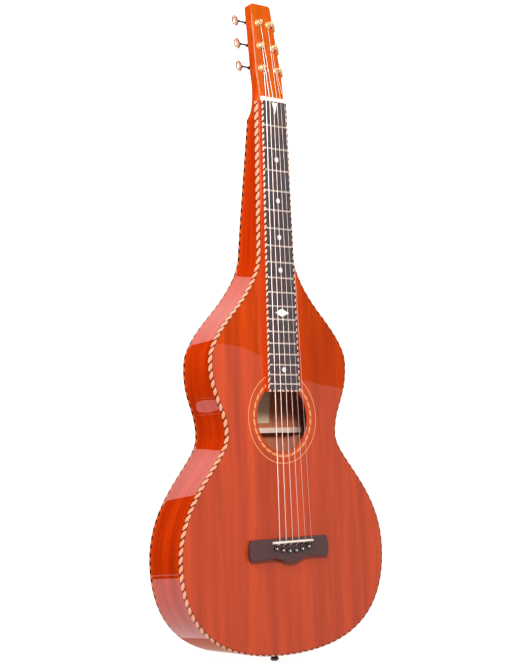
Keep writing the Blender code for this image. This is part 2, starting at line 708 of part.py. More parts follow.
def make_bridge(body, ebony, bone, spruce, horn, soundboard):
    half = bridge_outline()
    outline = np.concatenate([half, half[-2::-1] * (-1, 1)])
    bridge = extruded("bridge", outline, GAP, BRIDGE_HEIGHT, ebony, body)
    for side, name in ((1, "treble"), (-1, "bass")):
        deck, tip = BRIDGE_DECK_HALF_LENGTH, BRIDGE_HALF_LENGTH + CUT_PAST
        drop = (BRIDGE_HEIGHT - BRIDGE_WING_HEIGHT) * (tip - deck) / (BRIDGE_HALF_LENGTH - deck)
        profile = [(deck, BRIDGE_HEIGHT), (tip, BRIDGE_HEIGHT - drop),
                   (tip, BRIDGE_HEIGHT + CUT_PAST), (deck, BRIDGE_HEIGHT + CUT_PAST)]
        sections = [[body_point(side * x, v, z) for x, z in profile]
                    for v in (BRIDGE_FRONT - CUT_PAST, BRIDGE_POINT + CUT_PAST)]
        combine(bridge, loft(f"bridge_wing_cutter_{name}", sections, ebony, body), "DIFFERENCE")
    slot = rectangle(SADDLE_HALF_LENGTH + GAP, SCALE_LENGTH - SADDLE_WIDTH / 2 - GAP,
                     SCALE_LENGTH + SADDLE_WIDTH / 2 + GAP)
    slot_floor = BRIDGE_HEIGHT - SADDLE_SLOT_DEPTH
    combine(bridge, extruded("saddle_slot_cutter", slot, slot_floor, BRIDGE_HEIGHT + CUT_PAST,
                             ebony, body), "DIFFERENCE")

    wide, high = SADDLE_WIDTH / 2, SADDLE_HEIGHT
    crown = [(-wide, slot_floor + GAP), (-wide, high - wide), (-wide * 0.6, high - wide * 0.35),
             (0, high), (wide * 0.6, high - wide * 0.35), (wide, high - wide),
             (wide, slot_floor + GAP)]
    sections = [[body_point(x, SCALE_LENGTH + v, z) for v, z in crown]
                for x in (-SADDLE_HALF_LENGTH, SADDLE_HALF_LENGTH)]
    loft("saddle", sections, bone, body)

    plate_top = TOP_INSIDE - GAP
    patch = rectangle(BRIDGE_PLATE_HALF_LENGTH, BRIDGE_PLATE_FRONT, BRIDGE_PLATE_BACK)
    plate = extruded("bridge_plate", patch, plate_top - BRIDGE_PLATE_THICKNESS, plate_top,
                     spruce, body)
    for cutter in make_pin_holes(body, ebony):
        for piece in (bridge, soundboard, plate):
            combine(piece, cutter, "DIFFERENCE")

    for i, (x, v) in enumerate(pin_places()):
        head = [(PIN_HEAD_RADIUS * 0.72, GAP), (PIN_HEAD_RADIUS, 0.0012),
                (PIN_HEAD_RADIUS * 0.92, PIN_HEAD_HEIGHT * 0.6),
                (PIN_HEAD_RADIUS * 0.55, PIN_HEAD_HEIGHT * 0.92), (0, PIN_HEAD_HEIGHT)]
        shank = [(0, -PIN_LENGTH), (PIN_SHANK_RADIUS * 0.8, -PIN_LENGTH), (PIN_SHANK_RADIUS, GAP)]
        pin = turned(f"bridge_pin_{6 - i}", shank + head, horn, body, 10, math.pi / 10)
        pin.location = body_point(x, v, BRIDGE_HEIGHT)


def make_end_blocks(body, wood, outline, pin_hole, horn):
    inner = inset(outline, INNER)
    edge = stretch(inner, station(inner, 0, TAIL_BLOCK_HALF_WIDTH), len(inner) - 1)
    face = TAIL - INNER - TAIL_BLOCK_THICKNESS
    loop = np.concatenate([[(TAIL_BLOCK_HALF_WIDTH, face)], edge, edge[-2::-1] * (-1, 1),
                           [(-TAIL_BLOCK_HALF_WIDTH, face)]])
    block = extruded("tail_block", loop, BACK_THICKNESS + GAP - BODY_DEPTH, TOP_INSIDE - GAP,
                     wood, body)
    combine(block, pin_hole, "DIFFERENCE")

    profile = [(0, END_PIN_HEAD), (END_PIN_RADIUS * 0.7, END_PIN_HEAD * 0.97),
               (END_PIN_RADIUS, END_PIN_HEAD * 0.72), (END_PIN_RADIUS * 0.75, END_PIN_HEAD * 0.4),
               (END_PIN_RADIUS * 0.72, END_PIN_HEAD * 0.3), (END_PIN_RADIUS, GAP),
               (END_PIN_SHANK_RADIUS, GAP), (END_PIN_SHANK_RADIUS * 0.9, -END_PIN_LENGTH),
               (0, -END_PIN_LENGTH)]
    pin = turned("end_pin", profile, horn, body, 14, math.pi / 14)
    pin.rotation_euler = (math.pi / 2, 0, 0)
    pin.location = body_point(0, TAIL, -BODY_DEPTH / 2)


def make_label(body, paper):
    sections = []
    for v in np.linspace(LABEL_TOP, LABEL_BOTTOM, 4):
        low = float(back_inside(v)) + GAP
        sections.append([body_point(-LABEL_HALF_WIDTH, v, low),
                         body_point(LABEL_HALF_WIDTH, v, low),
                         body_point(LABEL_HALF_WIDTH, v, low + LABEL_THICKNESS),
                         body_point(-LABEL_HALF_WIDTH, v, low + LABEL_THICKNESS)])
    loft("label", sections, paper, body)


def head_half_width(s):
    """Half the headstock's width at s along its face."""
    if s < HEAD_WIDEST:
        share = (1 - math.cos(math.pi * s / HEAD_WIDEST)) / 2
        return HEAD_HALF_WIDTH_AT_NUT + (HEAD_WIDEST_HALF_WIDTH - HEAD_HALF_WIDTH_AT_NUT) * share
    share = (s - HEAD_WIDEST) / (HEAD_LENGTH - HEAD_WIDEST)
    bend = share ** 0.85
    return HEAD_WIDEST_HALF_WIDTH + (HEAD_TIP_HALF_WIDTH - HEAD_WIDEST_HALF_WIDTH) * bend


def ring_section(low_half, waist_half, waist, top_half, top, chamfer, low):
    """Eight (x, height) points round the headstock: bottom, sides and chamfered top edges."""
    right = [(low_half, low), (waist_half, waist), (top_half, top - chamfer),
             (top_half - chamfer, top)]
    return right + [(-x, z) for x, z in right[::-1]]


def make_headstock(body, wood):
    """Headstock, carved heel and the block that glues into the hollow neck, in one piece."""
    neck_slope = (NECK_ROOT_HALF_WIDTH - NECK_HALF_WIDTH) / NECK_ROOT
    ledge = -BINDING_HEIGHT - GAP
    level = POST_ROWS[0][0] - PLATE_TO_NUT  # the back is parallel to the face beyond this
    sections = []
    rows = [(HEAD_LENGTH - HEAD_CORNER * back, HEAD_CORNER * narrower)
            for back, narrower in ((0, 1), (0.25, 0.45), (0.65, 0.1), (1, 0))]
    rows += [(s, 0) for s in np.linspace(POST_ROWS[-1][0], level, 5)]
    rows += [(HEEL_FLARE * share, 0) for share in (1, 0.67, 0.33)]
    for s, narrower in rows:
        half = head_half_width(s) - narrower
        flare = max(0.0, 1 - s / HEEL_FLARE) ** 1.6
        low_half = half + (NECK_HALF_WIDTH - half) * flare
        thick = HEAD_THICKNESS
        if s < level:
            thick += (HEAD_THICKNESS_AT_NUT - HEAD_THICKNESS) * (1 - s / level)
        waist = -thick * 0.55
        section = ring_section(low_half, low_half, waist, half, 0, HEAD_CHAMFER, -thick)
        sections.append([head_point(x, s, h) for x, h in section])

    def under(v):
        """Height of the heel's underside, from the neck's back up to the headstock's."""
        low = depth(HEEL_END)
        high = HEAD_THICKNESS_AT_NUT - HEAD_RISE
        share = max(0.0, v / HEEL_END)
        return -(high + (low - high) * share ** 2.2)

    base = ring_section(NECK_HALF_WIDTH, NECK_HALF_WIDTH, ledge, HEAD_HALF_WIDTH_AT_NUT,
                        HEAD_RISE, HEAD_CHAMFER, under(0))
    sections.append([body_point(x, 0, z) for x, z in base])
    core = NECK_HALF_WIDTH - INNER - GAP  # inside both bindings
    for v in np.linspace(0, HEEL_END, 6):
        half = NECK_HALF_WIDTH + neck_slope * v
        right = [(half, under(v)), (half, ledge), (core, ledge), (core, TOP_INSIDE - GAP)]
        ring_points = right + [(-x, z) for x, z in right[::-1]]
        sections.append([body_point(x, v, z) for x, z in ring_points])
    head = loft("headstock", sections, wood, body)

    block = []
    for v, low in ((HEEL_END * 0.5, ledge - GAP), (HEEL_END, back_inside(HEEL_END) + GAP),
                   (HEEL_BLOCK_END, back_inside(HEEL_BLOCK_END) + GAP)):
        half = NECK_HALF_WIDTH + neck_slope * v - INNER
        block.append([body_point(x, v, z) for x, z in
                      ((-half, low), (half, low), (half, TOP_INSIDE - GAP),
                       (-half, TOP_INSIDE - GAP))])
    combine(head, loft("neck_block_guide", block, wood, body), "UNION")

    for side_name, side in (("bass", -1), ("treble", 1)):
        for row, (s, off) in enumerate(POST_ROWS):
            place, turn = head_point(side * off, s, 0), (-TILT, 0, 0)
            ferrule = turned(f"ferrule_guide_{side_name}_{row}",
                             [(FERRULE_RADIUS, -HEAD_THICKNESS / 4),
                              (FERRULE_RADIUS, FERRULE_HEIGHT * 0.6),
                              (FERRULE_RADIUS * 0.8, FERRULE_HEIGHT)], wood, body, 12)
            bore = turned(f"post_bore_{side_name}_{row}",
                          [(POST_RADIUS + 2 * GAP, -HEAD_THICKNESS - CUT_PAST),
                           (POST_RADIUS + 2 * GAP, CUT_PAST)], wood, body, 12)
            for guide, operation in ((ferrule, "UNION"), (bore, "DIFFERENCE")):
                guide.location = place
                guide.rotation_euler = turn
                combine(head, guide, operation)


def worm_thread():
    """Sections of the worm's helical thread about the X axis, its crest at x = 0 facing -Y."""
    steps = int(WORM_TURNS * WORM_STEPS)
    tan = math.tan(math.radians(PRESSURE_ANGLE))
    crest = WORM_RADIUS + TOOTH_HEIGHT
    root = SHAFT_RADIUS * 0.75  # sunk into the shaft that carries it
    pitch_half = LEAD / 4 - TOOTH_PLAY / 2
    crest_half = pitch_half - TOOTH_HEIGHT * tan
    root_half = pitch_half + (WORM_RADIUS - root) * tan
    sections = []
    for i in range(steps + 1):
        turn = (i / steps - 0.5) * WORM_TURNS * 2 * math.pi
        x = LEAD * turn / (2 * math.pi)
        y, z = -math.cos(turn), math.sin(turn)
        sections.append([(x - root_half, y * root, z * root), (x - crest_half, y * crest, z * crest),
                         (x + crest_half, y * crest, z * crest), (x + root_half, y * root, z * root)])
    return sections


def worm_wheel():
    """Sections of the toothed wheel about Z, with a tooth space facing +Y at mid height."""
    tan = math.tan(math.radians(PRESSURE_ANGLE))
    tip, root = WHEEL_RADIUS + TOOTH_HEIGHT, WHEEL_RADIUS - TOOTH_ROOT
    pitch_half = LEAD / 4 - TOOTH_PLAY / 2
    tip_half = (pitch_half - TOOTH_HEIGHT * tan) / tip
    root_half = (pitch_half + TOOTH_ROOT * tan) / root
    lead_turn = WHEEL_THICKNESS * LEAD / (2 * math.pi * WORM_RADIUS) / WHEEL_RADIUS
    sections = []
    for share in (-0.5, 0.5):
        section = []
        for tooth in range(WHEEL_TEETH):
            middle = math.pi / 2 + (tooth + 0.5) * 2 * math.pi / WHEEL_TEETH + lead_turn * share
            for angle, radius in ((-root_half, root), (-tip_half, tip), (tip_half, tip),
                                  (root_half, root)):
                a = middle + angle
                section.append((radius * math.cos(a), radius * math.sin(a),
                                WORM_DEPTH + share * WHEEL_THICKNESS))
        sections.append(section)
    return sections


def mirrored(sections, side):
    return [[(side * x, y, z) for x, y, z in section] for section in sections]


def make_machines(body, brass, steel):
    """Six open tuning machines: plate with two lugs, string post with wheel, worm with button."""
    for side_name, side in (("bass", -1), ("treble", 1)):
        for row, (s, off) in enumerate(POST_ROWS):
            label = f"{side_name}_{row + 1}"
            axis = bpy.data.objects.new(f"post_axis_{label}", None)
            bpy.context.collection.objects.link(axis)
            axis.parent = body
            axis.location = head_point(side * off, s, 0)
            axis.rotation_euler = (-TILT, 0, 0)
            make_post(label, side, row if side < 0 else 5 - row, axis, brass)
            edge = head_half_width(s + WORM_OFFSET)
            make_button(label, side, edge - off, axis, brass)
            make_machine_plate(label, side, axis, steel)


def make_post(label, side, string, axis, brass):
    """String post with its wheel underneath, on the axis's own Z."""
    radius, top = POST_RADIUS, POST_HEIGHT
    hub, hub_end = radius * 0.85, WORM_DEPTH - WHEEL_THICKNESS / 2 - HUB_HEIGHT
    collar = WHEEL_RADIUS - TOOTH_ROOT - GAP
    profile = [(0, hub_end), (hub * 0.8, hub_end), (hub, hub_end + HUB_HEIGHT * 0.6),
               (hub, WORM_DEPTH), (collar, WORM_DEPTH), (collar, PLATE_UNDER - GAP),
               (radius, PLATE_UNDER - GAP), (radius, top - 0.5 * radius), (radius * 0.8, top),
               (0, top)]
    post = turned(f"tuner_post_{label}", profile, brass, axis, 12)
    wheel = loft(f"wheel_guide_{label}", mirrored(worm_wheel(), side), brass, axis)
    combine(post, wheel, "UNION")
    bore = STRING_DIAMETERS[string] / 2 + GAP
    hole = turned(f"string_hole_{label}", [(bore, -CUT_PAST), (bore, CUT_PAST)], brass, axis, 8)
    hole.location = (0, 0, POST_HOLE_HEIGHT)
    hole.rotation_euler = (math.pi / 2, 0, 0)
    combine(post, hole, "DIFFERENCE")


def plate_lugs():
    """Each lug's nearest and furthest x from the post, outwards counted as positive."""
    room = (WORM_TURNS + 1) * LEAD / 2 + GAP
    return (-room - LUG_THICKNESS, -room), (room, room + LUG_THICKNESS)


def make_button(label, side, reach, axis, brass):
    """Button, shaft and worm in one piece, on an axis along X."""
    holder = bpy.data.objects.new(f"button_axis_{label}", None)
    bpy.context.collection.objects.link(holder)
    holder.parent = axis
    holder.location = (0, WORM_OFFSET, WORM_DEPTH)
    inner_end = plate_lugs()[0][0] - PLATE_MARGIN
    middle = reach + BUTTON_REACH
    half = BUTTON_HALF_LENGTH
    shaft = [(0, inner_end), (SHAFT_RADIUS, inner_end), (SHAFT_RADIUS, middle - half * 1.45),
             (SHAFT_RADIUS * 1.7, middle - half * 1.3), (SHAFT_RADIUS * 1.3, middle - half * 0.8),
             (SHAFT_RADIUS * 1.3, middle - half * 0.1), (0, middle - half * 0.1)]
    button = turned(f"tuner_button_{label}", shaft, brass, holder, 10)
    button.data.transform(Matrix.Rotation(side * math.pi / 2, 4, "Y"))
    thread = loft(f"thread_guide_{label}", mirrored(worm_thread(), side), brass, holder)
    combine(button, thread, "UNION")
    rings = []
    for polar in np.linspace(0, math.pi, 8)[1:-1]:
        bulge = math.sin(polar) ** 0.8
        around = np.arange(12) * math.pi / 6
        rings.append([(side * (middle - half * math.cos(polar)),
                       BUTTON_HALF_WIDTH * bulge * math.cos(a),
                       BUTTON_HALF_THICKNESS * bulge * math.sin(a)) for a in around])
    combine(button, loft(f"grip_guide_{label}", rings, brass, holder), "UNION")


def make_machine_plate(label, side, axis, steel):
    """Base plate under the headstock, bored for the post, with a lug at each end of the worm."""
    high, low = -HEAD_THICKNESS - GAP, PLATE_UNDER
    lugs = plate_lugs()
    left, right = lugs[0][0] - PLATE_MARGIN, lugs[1][1] + PLATE_MARGIN
    corner = PLATE_CORNER
    outline = [(left + corner, -PLATE_TO_NUT), (right - corner, -PLATE_TO_NUT),
               (right, -PLATE_TO_NUT + corner), (right, PLATE_TO_TIP - corner),
               (right - corner, PLATE_TO_TIP), (left + corner, PLATE_TO_TIP),
               (left, PLATE_TO_TIP - corner), (left, -PLATE_TO_NUT + corner)]
    sections = [[(side * x, y, z) for x, y in outline] for z in (low, high)]
    plate = loft(f"tuner_plate_{label}", sections, steel, axis)
    foot = WORM_DEPTH - BUTTON_HALF_THICKNESS - LUG_STAND
    wide, seat = LUG_HALF_WIDTH, low + MACHINE_PLATE_THICKNESS / 3
    profile = [(WORM_OFFSET - wide, seat), (WORM_OFFSET - wide, WORM_DEPTH),
               (WORM_OFFSET - wide * 0.5, foot), (WORM_OFFSET + wide * 0.5, foot),
               (WORM_OFFSET + wide, WORM_DEPTH), (WORM_OFFSET + wide, seat)]
    for end, ends in zip(("inner", "outer"), lugs):
        sections = [[(side * x, y, z) for y, z in profile] for x in ends]
        combine(plate, loft(f"lug_guide_{label}_{end}", sections, steel, axis), "UNION")
    post_bore = turned(f"plate_bore_{label}", [(POST_RADIUS + GAP, low - CUT_PAST),
                                               (POST_RADIUS + GAP, high + CUT_PAST)], steel, axis,
                       12)
    combine(plate, post_bore, "DIFFERENCE")
    bore_reach = right + CUT_PAST
    shaft_bore = turned(f"shaft_bore_{label}", [(SHAFT_RADIUS + GAP, -bore_reach),
                                                (SHAFT_RADIUS + GAP, bore_reach)], steel, axis, 10)
    shaft_bore.rotation_euler = (0, math.pi / 2, 0)
    shaft_bore.location = (0, WORM_OFFSET, WORM_DEPTH)
    combine(plate, shaft_bore, "DIFFERENCE")


def string_route(x_nut, x_saddle, diameter, pin, post, side):
    """A string's middle line, from its ball under the bridge plate to its tail at the post."""
    radius = diameter / 2
    x_pin, v_pin = pin
    plate_under = TOP_INSIDE - GAP - BRIDGE_PLATE_THICKNESS
    v_rise = v_pin - string_stand(diameter)
    half, stand = SADDLE_WIDTH / 2, GAP + radius
    route = [(x_pin, v_rise, plate_under - GAP - BALL_RADIUS * down)
             for down in (1.8, 1.4, 0.5, 0)]
    route += [(x_pin, v_rise, BRIDGE_HEIGHT),
              (x_saddle, SCALE_LENGTH + half + stand, SADDLE_HEIGHT - half),
              (x_saddle, SCALE_LENGTH + half * 0.6 + stand * 0.75,
               SADDLE_HEIGHT - half * 0.35 + stand * 0.75),
              (x_saddle, SCALE_LENGTH, SADDLE_HEIGHT + stand)]
    nut_z = nut_floor(-GAP) + GAP + radius
    route += [(x_nut, -GAP, nut_z)]
    points = [Vector(body_point(*p)) for p in route]

    off, s_post = post
    coil = POST_RADIUS + GAP + radius
    centre = Vector((side * off, s_post))
    nut_on_head = Vector((x_nut, GAP))
    reach = centre - nut_on_head
    # The string passes each post on its inner side
    bearing = math.atan2(reach.y, reach.x) + side * math.asin(coil / reach.length)
    touch = nut_on_head + Vector((math.cos(bearing), math.sin(bearing))) * math.sqrt(
        reach.length ** 2 - coil ** 2)
    start = math.atan2(touch.y - centre.y, touch.x - centre.x)
    span = (start - math.pi / 2) * side % (2 * math.pi) + 2 * math.pi * WINDING_TURNS
    steps = int(span / (2 * math.pi) * TURN_STEPS)
    climb = POST_HOLE_HEIGHT - LOW_TURN_HEIGHT - WINDING_PITCH * span / (2 * math.pi)
    coils = []
    for i in range(steps + 1):
        turned_by = span * i / steps
        late = min(1.0, max(0.0, (turned_by - (span - math.pi)) / math.pi))
        height = (LOW_TURN_HEIGHT + WINDING_PITCH * turned_by / (2 * math.pi)
                  + climb * late * late * (3 - 2 * late))
        a = start - side * turned_by
        coils.append(Vector(head_point(centre.x + coil * math.cos(a),
                                       centre.y + coil * math.sin(a), height)))
    tail = [Vector(head_point(centre.x, centre.y + y, POST_HOLE_HEIGHT))
            for y in (0.0, -coil - STRING_TAIL)]
    winding_gap = least_gap(coils + tail, diameter)
    return points + coils + tail, winding_gap


def least_gap(points, diameter):
    """The clear distance between a winding and its own neighbouring turns."""
    dense = []
    for a, b in zip(points, points[1:]):
        dense += [a.lerp(b, t / 4) for t in range(4)]
    line = np.array([tuple(p) for p in dense])
    travelled = np.concatenate([[0], np.cumsum(np.linalg.norm(np.diff(line, axis=0), axis=1))])
    apart = np.linalg.norm(line[:, None] - line[None], axis=2)
    near = np.abs(travelled[:, None] - travelled[None]) < math.pi * POST_RADIUS
    return float(np.where(near, 1.0, apart).min()) - diameter


def make_strings(body, steel, bronze):
    """Six strings, each one unbroken tube from its ball end to its tail."""
    gaps = []
    nut_lines, saddle_lines = string_lines(NUT_SPREAD), string_lines(SADDLE_SPREAD)
    for i, diameter in enumerate(STRING_DIAMETERS):
        side = -1 if i < 3 else 1
        s, off = POST_ROWS[i if i < 3 else 5 - i]
        points, gap = string_route(nut_lines[i], saddle_lines[i], diameter, pin_places()[i],
                                   (off, s), side)
        gaps.append(gap)
        curve = bpy.data.curves.new(f"string_{6 - i}", "CURVE")
        curve.dimensions = "3D"
        curve.bevel_depth = diameter / 2
        curve.bevel_resolution = 1
        curve.render_resolution_u = 0
        curve.use_fill_caps = True
        spline = curve.splines.new("POLY")
        spline.points.add(len(points) - 1)
        ball = BALL_RADIUS / (diameter / 2)
        swell = [0.6 * ball, ball, 0.6 * ball]
        for k, point in enumerate(points):
            spline.points[k].co = (*point, 1)
            spline.points[k].radius = swell[k] if k < 3 else 1.0
        made = bpy.data.objects.new(f"string_{6 - i}", curve)
        bpy.context.collection.objects.link(made)
        made.parent = body
        curve.materials.append(bronze if i < 4 else steel)
    print(f"Least gap of a winding to itself: {min(gaps) * 1000:.2f} mm")


def main():
    for made in list(bpy.data.objects):
        bpy.data.objects.remove(made, do_unlink=True)
    mahogany = finish("mahogany", "B4492A", 0.25)
    headwood = finish("headstock_mahogany", "E06A1E", 0.25)
    rope = finish("rope_inlay", "D2955A", 0.35)
    maple = finish("maple_line", "E8C089", 0.35)
    spruce = finish("spruce", "D9B98A", 0.6)
    ebony = finish("ebony", "3A2E2E", 0.45)
    bone = finish("bone", "F4EFE2", 0.4)
    horn = finish("black_horn", "17151A", 0.25)
    paper = finish("label_paper", "E9DFC6", 0.8)
    gold = finish("gold_plate", "D9A95B", 0.25, 1.0)
    nickel = finish("plate_gold", "C99A54", 0.35, 1.0)
    steel = finish("string_steel", "C9C9C9", 0.3, 1.0)
    bronze = finish("string_bronze", "C79A6A", 0.35, 1.0)

    body = bpy.data.objects.new("guitar", None)
    bpy.context.collection.objects.link(body)
    body.location = (0, NUT_Y, BODY_DEPTH)

    outline = half_outline()
    soundboard = make_soundboard(body, mahogany, outline)
    make_rosette(body, rope, maple)
    make_back(body, mahogany, outline)
    pin_hole = make_rim(body, mahogany, rope, spruce, outline)
    make_braces(body, spruce, outline)
    make_fretboard(body, ebony, rope)
    make_nut(body, bone)
    make_bridge(body, ebony, bone, spruce, horn, soundboard)
    make_end_blocks(body, mahogany, outline, pin_hole, horn)
    make_label(body, paper)
    make_headstock(body, headwood)
    make_machines(body, gold, nickel)
    make_strings(body, steel, bronze)


main()
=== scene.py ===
# Hollow-neck lap steel guitar: its finish, fittings and studio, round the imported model.
# Places are given as a maker measures them: x across towards the treble side, v along the body
# from the nut to the tail, z up from the soundboard's face. All in metres.

import math

import bmesh
import bpy
import numpy as np
from mathutils import Matrix, Vector


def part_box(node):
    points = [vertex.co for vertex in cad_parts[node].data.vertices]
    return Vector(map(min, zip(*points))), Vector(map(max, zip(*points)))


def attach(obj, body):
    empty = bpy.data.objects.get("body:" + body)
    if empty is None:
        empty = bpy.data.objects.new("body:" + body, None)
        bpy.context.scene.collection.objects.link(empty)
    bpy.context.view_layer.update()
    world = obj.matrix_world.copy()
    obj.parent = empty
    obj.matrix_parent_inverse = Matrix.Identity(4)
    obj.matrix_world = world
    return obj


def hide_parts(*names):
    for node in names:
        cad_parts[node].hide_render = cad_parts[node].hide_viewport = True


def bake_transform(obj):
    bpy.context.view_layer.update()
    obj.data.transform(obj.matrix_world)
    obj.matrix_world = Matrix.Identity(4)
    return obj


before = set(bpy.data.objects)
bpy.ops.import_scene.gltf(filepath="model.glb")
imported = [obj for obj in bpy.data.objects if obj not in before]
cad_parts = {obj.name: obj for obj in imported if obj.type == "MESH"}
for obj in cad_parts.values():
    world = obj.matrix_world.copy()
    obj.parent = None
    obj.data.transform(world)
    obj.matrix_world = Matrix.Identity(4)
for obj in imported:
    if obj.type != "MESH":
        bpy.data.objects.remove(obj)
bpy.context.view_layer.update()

fit = 0.0003  # clearance that the model's solids keep
snug = 0.00004  # what is left of it between finished pieces
flush = 0.00003  # how far a face laid on or level with another stands clear of it
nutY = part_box("nut")[0].y - fit
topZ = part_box("soundboard")[1].z


def toWorld(x, v, z):
    # (x, v, z) on the body becomes (x, nut - v, soundboard + z)
    x, v, z = np.broadcast_arrays(np.asarray(x, float), v, z)
    return np.stack([x, nutY - v, topZ + z], -1)


def srgb(colour):
    # Hex colour to linear light
    values = np.array([int(colour[i:i + 2], 16) / 255 for i in (0, 2, 4)])
    linear = np.where(values <= 0.04045, values / 12.92, ((values + 0.055) / 1.055) ** 2.4)
    return (*linear, 1.0)


def setInputs(node, inputs):
    # Each input takes a plain value, the main result of another node, or one named socket
    for key, value in inputs.items():
        if isinstance(value, bpy.types.Node):
            value = next(socket for socket in value.outputs if socket.enabled)
        if isinstance(value, bpy.types.NodeSocket):
            node.id_data.links.new(value, node.inputs[key])
        else:
            node.inputs[key].default_value = value


def addNode(tree, kind, inputs=None, **settings):
    made = tree.nodes.new("ShaderNode" + kind)
    for key, value in settings.items():
        setattr(made, key, value)
    setInputs(made, inputs or {})
    return made


def newMaterial(name, values):
    # A Principled material whose plain values sit on the shader's own sockets
    material = bpy.data.materials.new(name)
    material.use_nodes = True
    shader = material.node_tree.nodes["Principled BSDF"]
    setInputs(shader, values)
    return material, material.node_tree, shader


# Surfaces

def sweep(name, rings, material, along=None, around=None, closed=False, sharp=35):
    # Skin over a row of closed sections: each point joins the next one round its own section
    # and the same two on the next section. along and around are the UV distances.
    rings = np.asarray(rings, float)
    rows, cols = rings.shape[:2]
    i = np.arange(rows if closed else rows - 1)[:, None, None] + np.array([0, 0, 1, 1])
    k = np.arange(cols)[None, :, None] + np.array([0, 1, 1, 0])
    i, k = np.broadcast_arrays(i, k)
    faces = ((i % rows) * cols + k % cols).reshape(-1, 4).tolist()
    if not closed:
        faces += [list(range(cols)), list(range((rows - 1) * cols, rows * cols))]
    mesh = bpy.data.meshes.new(name)
    mesh.from_pydata(rings.reshape(-1, 3).tolist(), [], faces)
    if along is not None:
        uv = np.zeros((len(mesh.loops), 2), np.float32)
        uv[:i.size] = np.stack([np.asarray(along)[i], np.asarray(around)[k]], -1).reshape(-1, 2)
        mesh.uv_layers.new(name="surface").data.foreach_set("uv", uv.ravel())
    return finishPiece(name, mesh, material, sharp)


def finishPiece(name, mesh, material, sharp=35):
    # Poles closed, faces outwards, smooth except across real edges
    shape = bmesh.new()
    shape.from_mesh(mesh)
    bmesh.ops.remove_doubles(shape, verts=shape.verts, dist=1e-7)
    bmesh.ops.recalc_face_normals(shape, faces=shape.faces)
    shape.to_mesh(mesh)
    shape.free()
    mesh.materials.clear()
    mesh.materials.append(material)
    mesh.shade_smooth()
    mesh.set_sharp_from_angle(angle=math.radians(sharp))
    piece = bpy.data.objects.new(name, mesh)
    bpy.context.scene.collection.objects.link(piece)
    return piece


def paint(piece, choose):
    # The faces whose normals are chosen take the piece's second material
    normals = np.zeros(len(piece.data.polygons) * 3, np.float32)
    piece.data.polygons.foreach_get("normal", normals)
    chosen = choose(normals.reshape(-1, 3)).astype(np.int32)
    piece.data.polygons.foreach_set("material_index", chosen)


def belongs(piece, body, nodes=()):
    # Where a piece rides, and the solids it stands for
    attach(piece, body)
    if nodes:
        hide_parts(*nodes)
    return piece


def cutOut(piece, cutters, sharp=30):
    # Each cutter is taken out of the piece, and then goes; the new edges are real edges
    for cutter in cutters:
        change = piece.modifiers.new("cut", "BOOLEAN")
        change.operation, change.solver, change.object = "DIFFERENCE", "EXACT", cutter
    bpy.context.view_layer.update()
    graph = bpy.context.evaluated_depsgraph_get()
    mesh = bpy.data.meshes.new_from_object(piece.evaluated_get(graph))
    piece.modifiers.clear()
    mesh.set_sharp_from_angle(angle=math.radians(sharp))
    old, piece.data = piece.data, mesh
    bpy.data.meshes.remove(old)
    for cutter in cutters:
        bpy.data.objects.remove(cutter)
    return piece


def turnedRings(profile, sides):
    # Each (radius, height) of the profile becomes a circle about the z axis
    profile = np.asarray(profile, float)
    a = np.arange(sides) * 2 * np.pi / sides
    radius, height = profile[:, :1], profile[:, 1:]
    return np.stack([radius * np.cos(a), radius * np.sin(a), height + 0 * a], -1)


def arcSteps(start, end, count):
    # Unit vectors turning from one angle to another, both in degrees
    a = np.radians(np.linspace(start, end, count))
    return np.stack([np.cos(a), np.sin(a)], -1)


def distanceAlong(points):
    return np.concatenate([[0], np.cumsum(np.linalg.norm(np.diff(points, axis=0), axis=1))])


def bezier(start, startPull, endPull, end, steps):
    # (1-t)^3 start + 3(1-t)^2 t startPull + 3(1-t) t^2 endPull + t^3 end, without its first point
    t = np.linspace(0, 1, steps + 1)[1:, None]
    weights = ((1 - t) ** 3, 3 * (1 - t) ** 2 * t, 3 * (1 - t) * t ** 2, t ** 3)
    return sum(weight * np.asarray(point, float)
               for weight, point in zip(weights, (start, startPull, endPull, end)))


# Wood, rope and metal

mahoganyLook = {  # each pattern's width across the grain and length along it
    "ribbon": (0.019, 0.36),  # the broad light and dark stripes of the figure
    "grain": (0.0013, 0.060),  # drawn twice as coarse as real, so that it shows
    "pore": (0.00045, 0.0070),
    "band": (0.026, 0.30),  # a few soft dark bands, where the log's rings cross
    "wave": 0.0035,  # how far the figure wanders sideways
    "grainShare": 0.42, "bandShare": 0.3,  # how much of the darker stain each brings
    "poreDepth": 0.00006, "varnishWave": 0.0006, "dull": (0.36, 0.5),
}


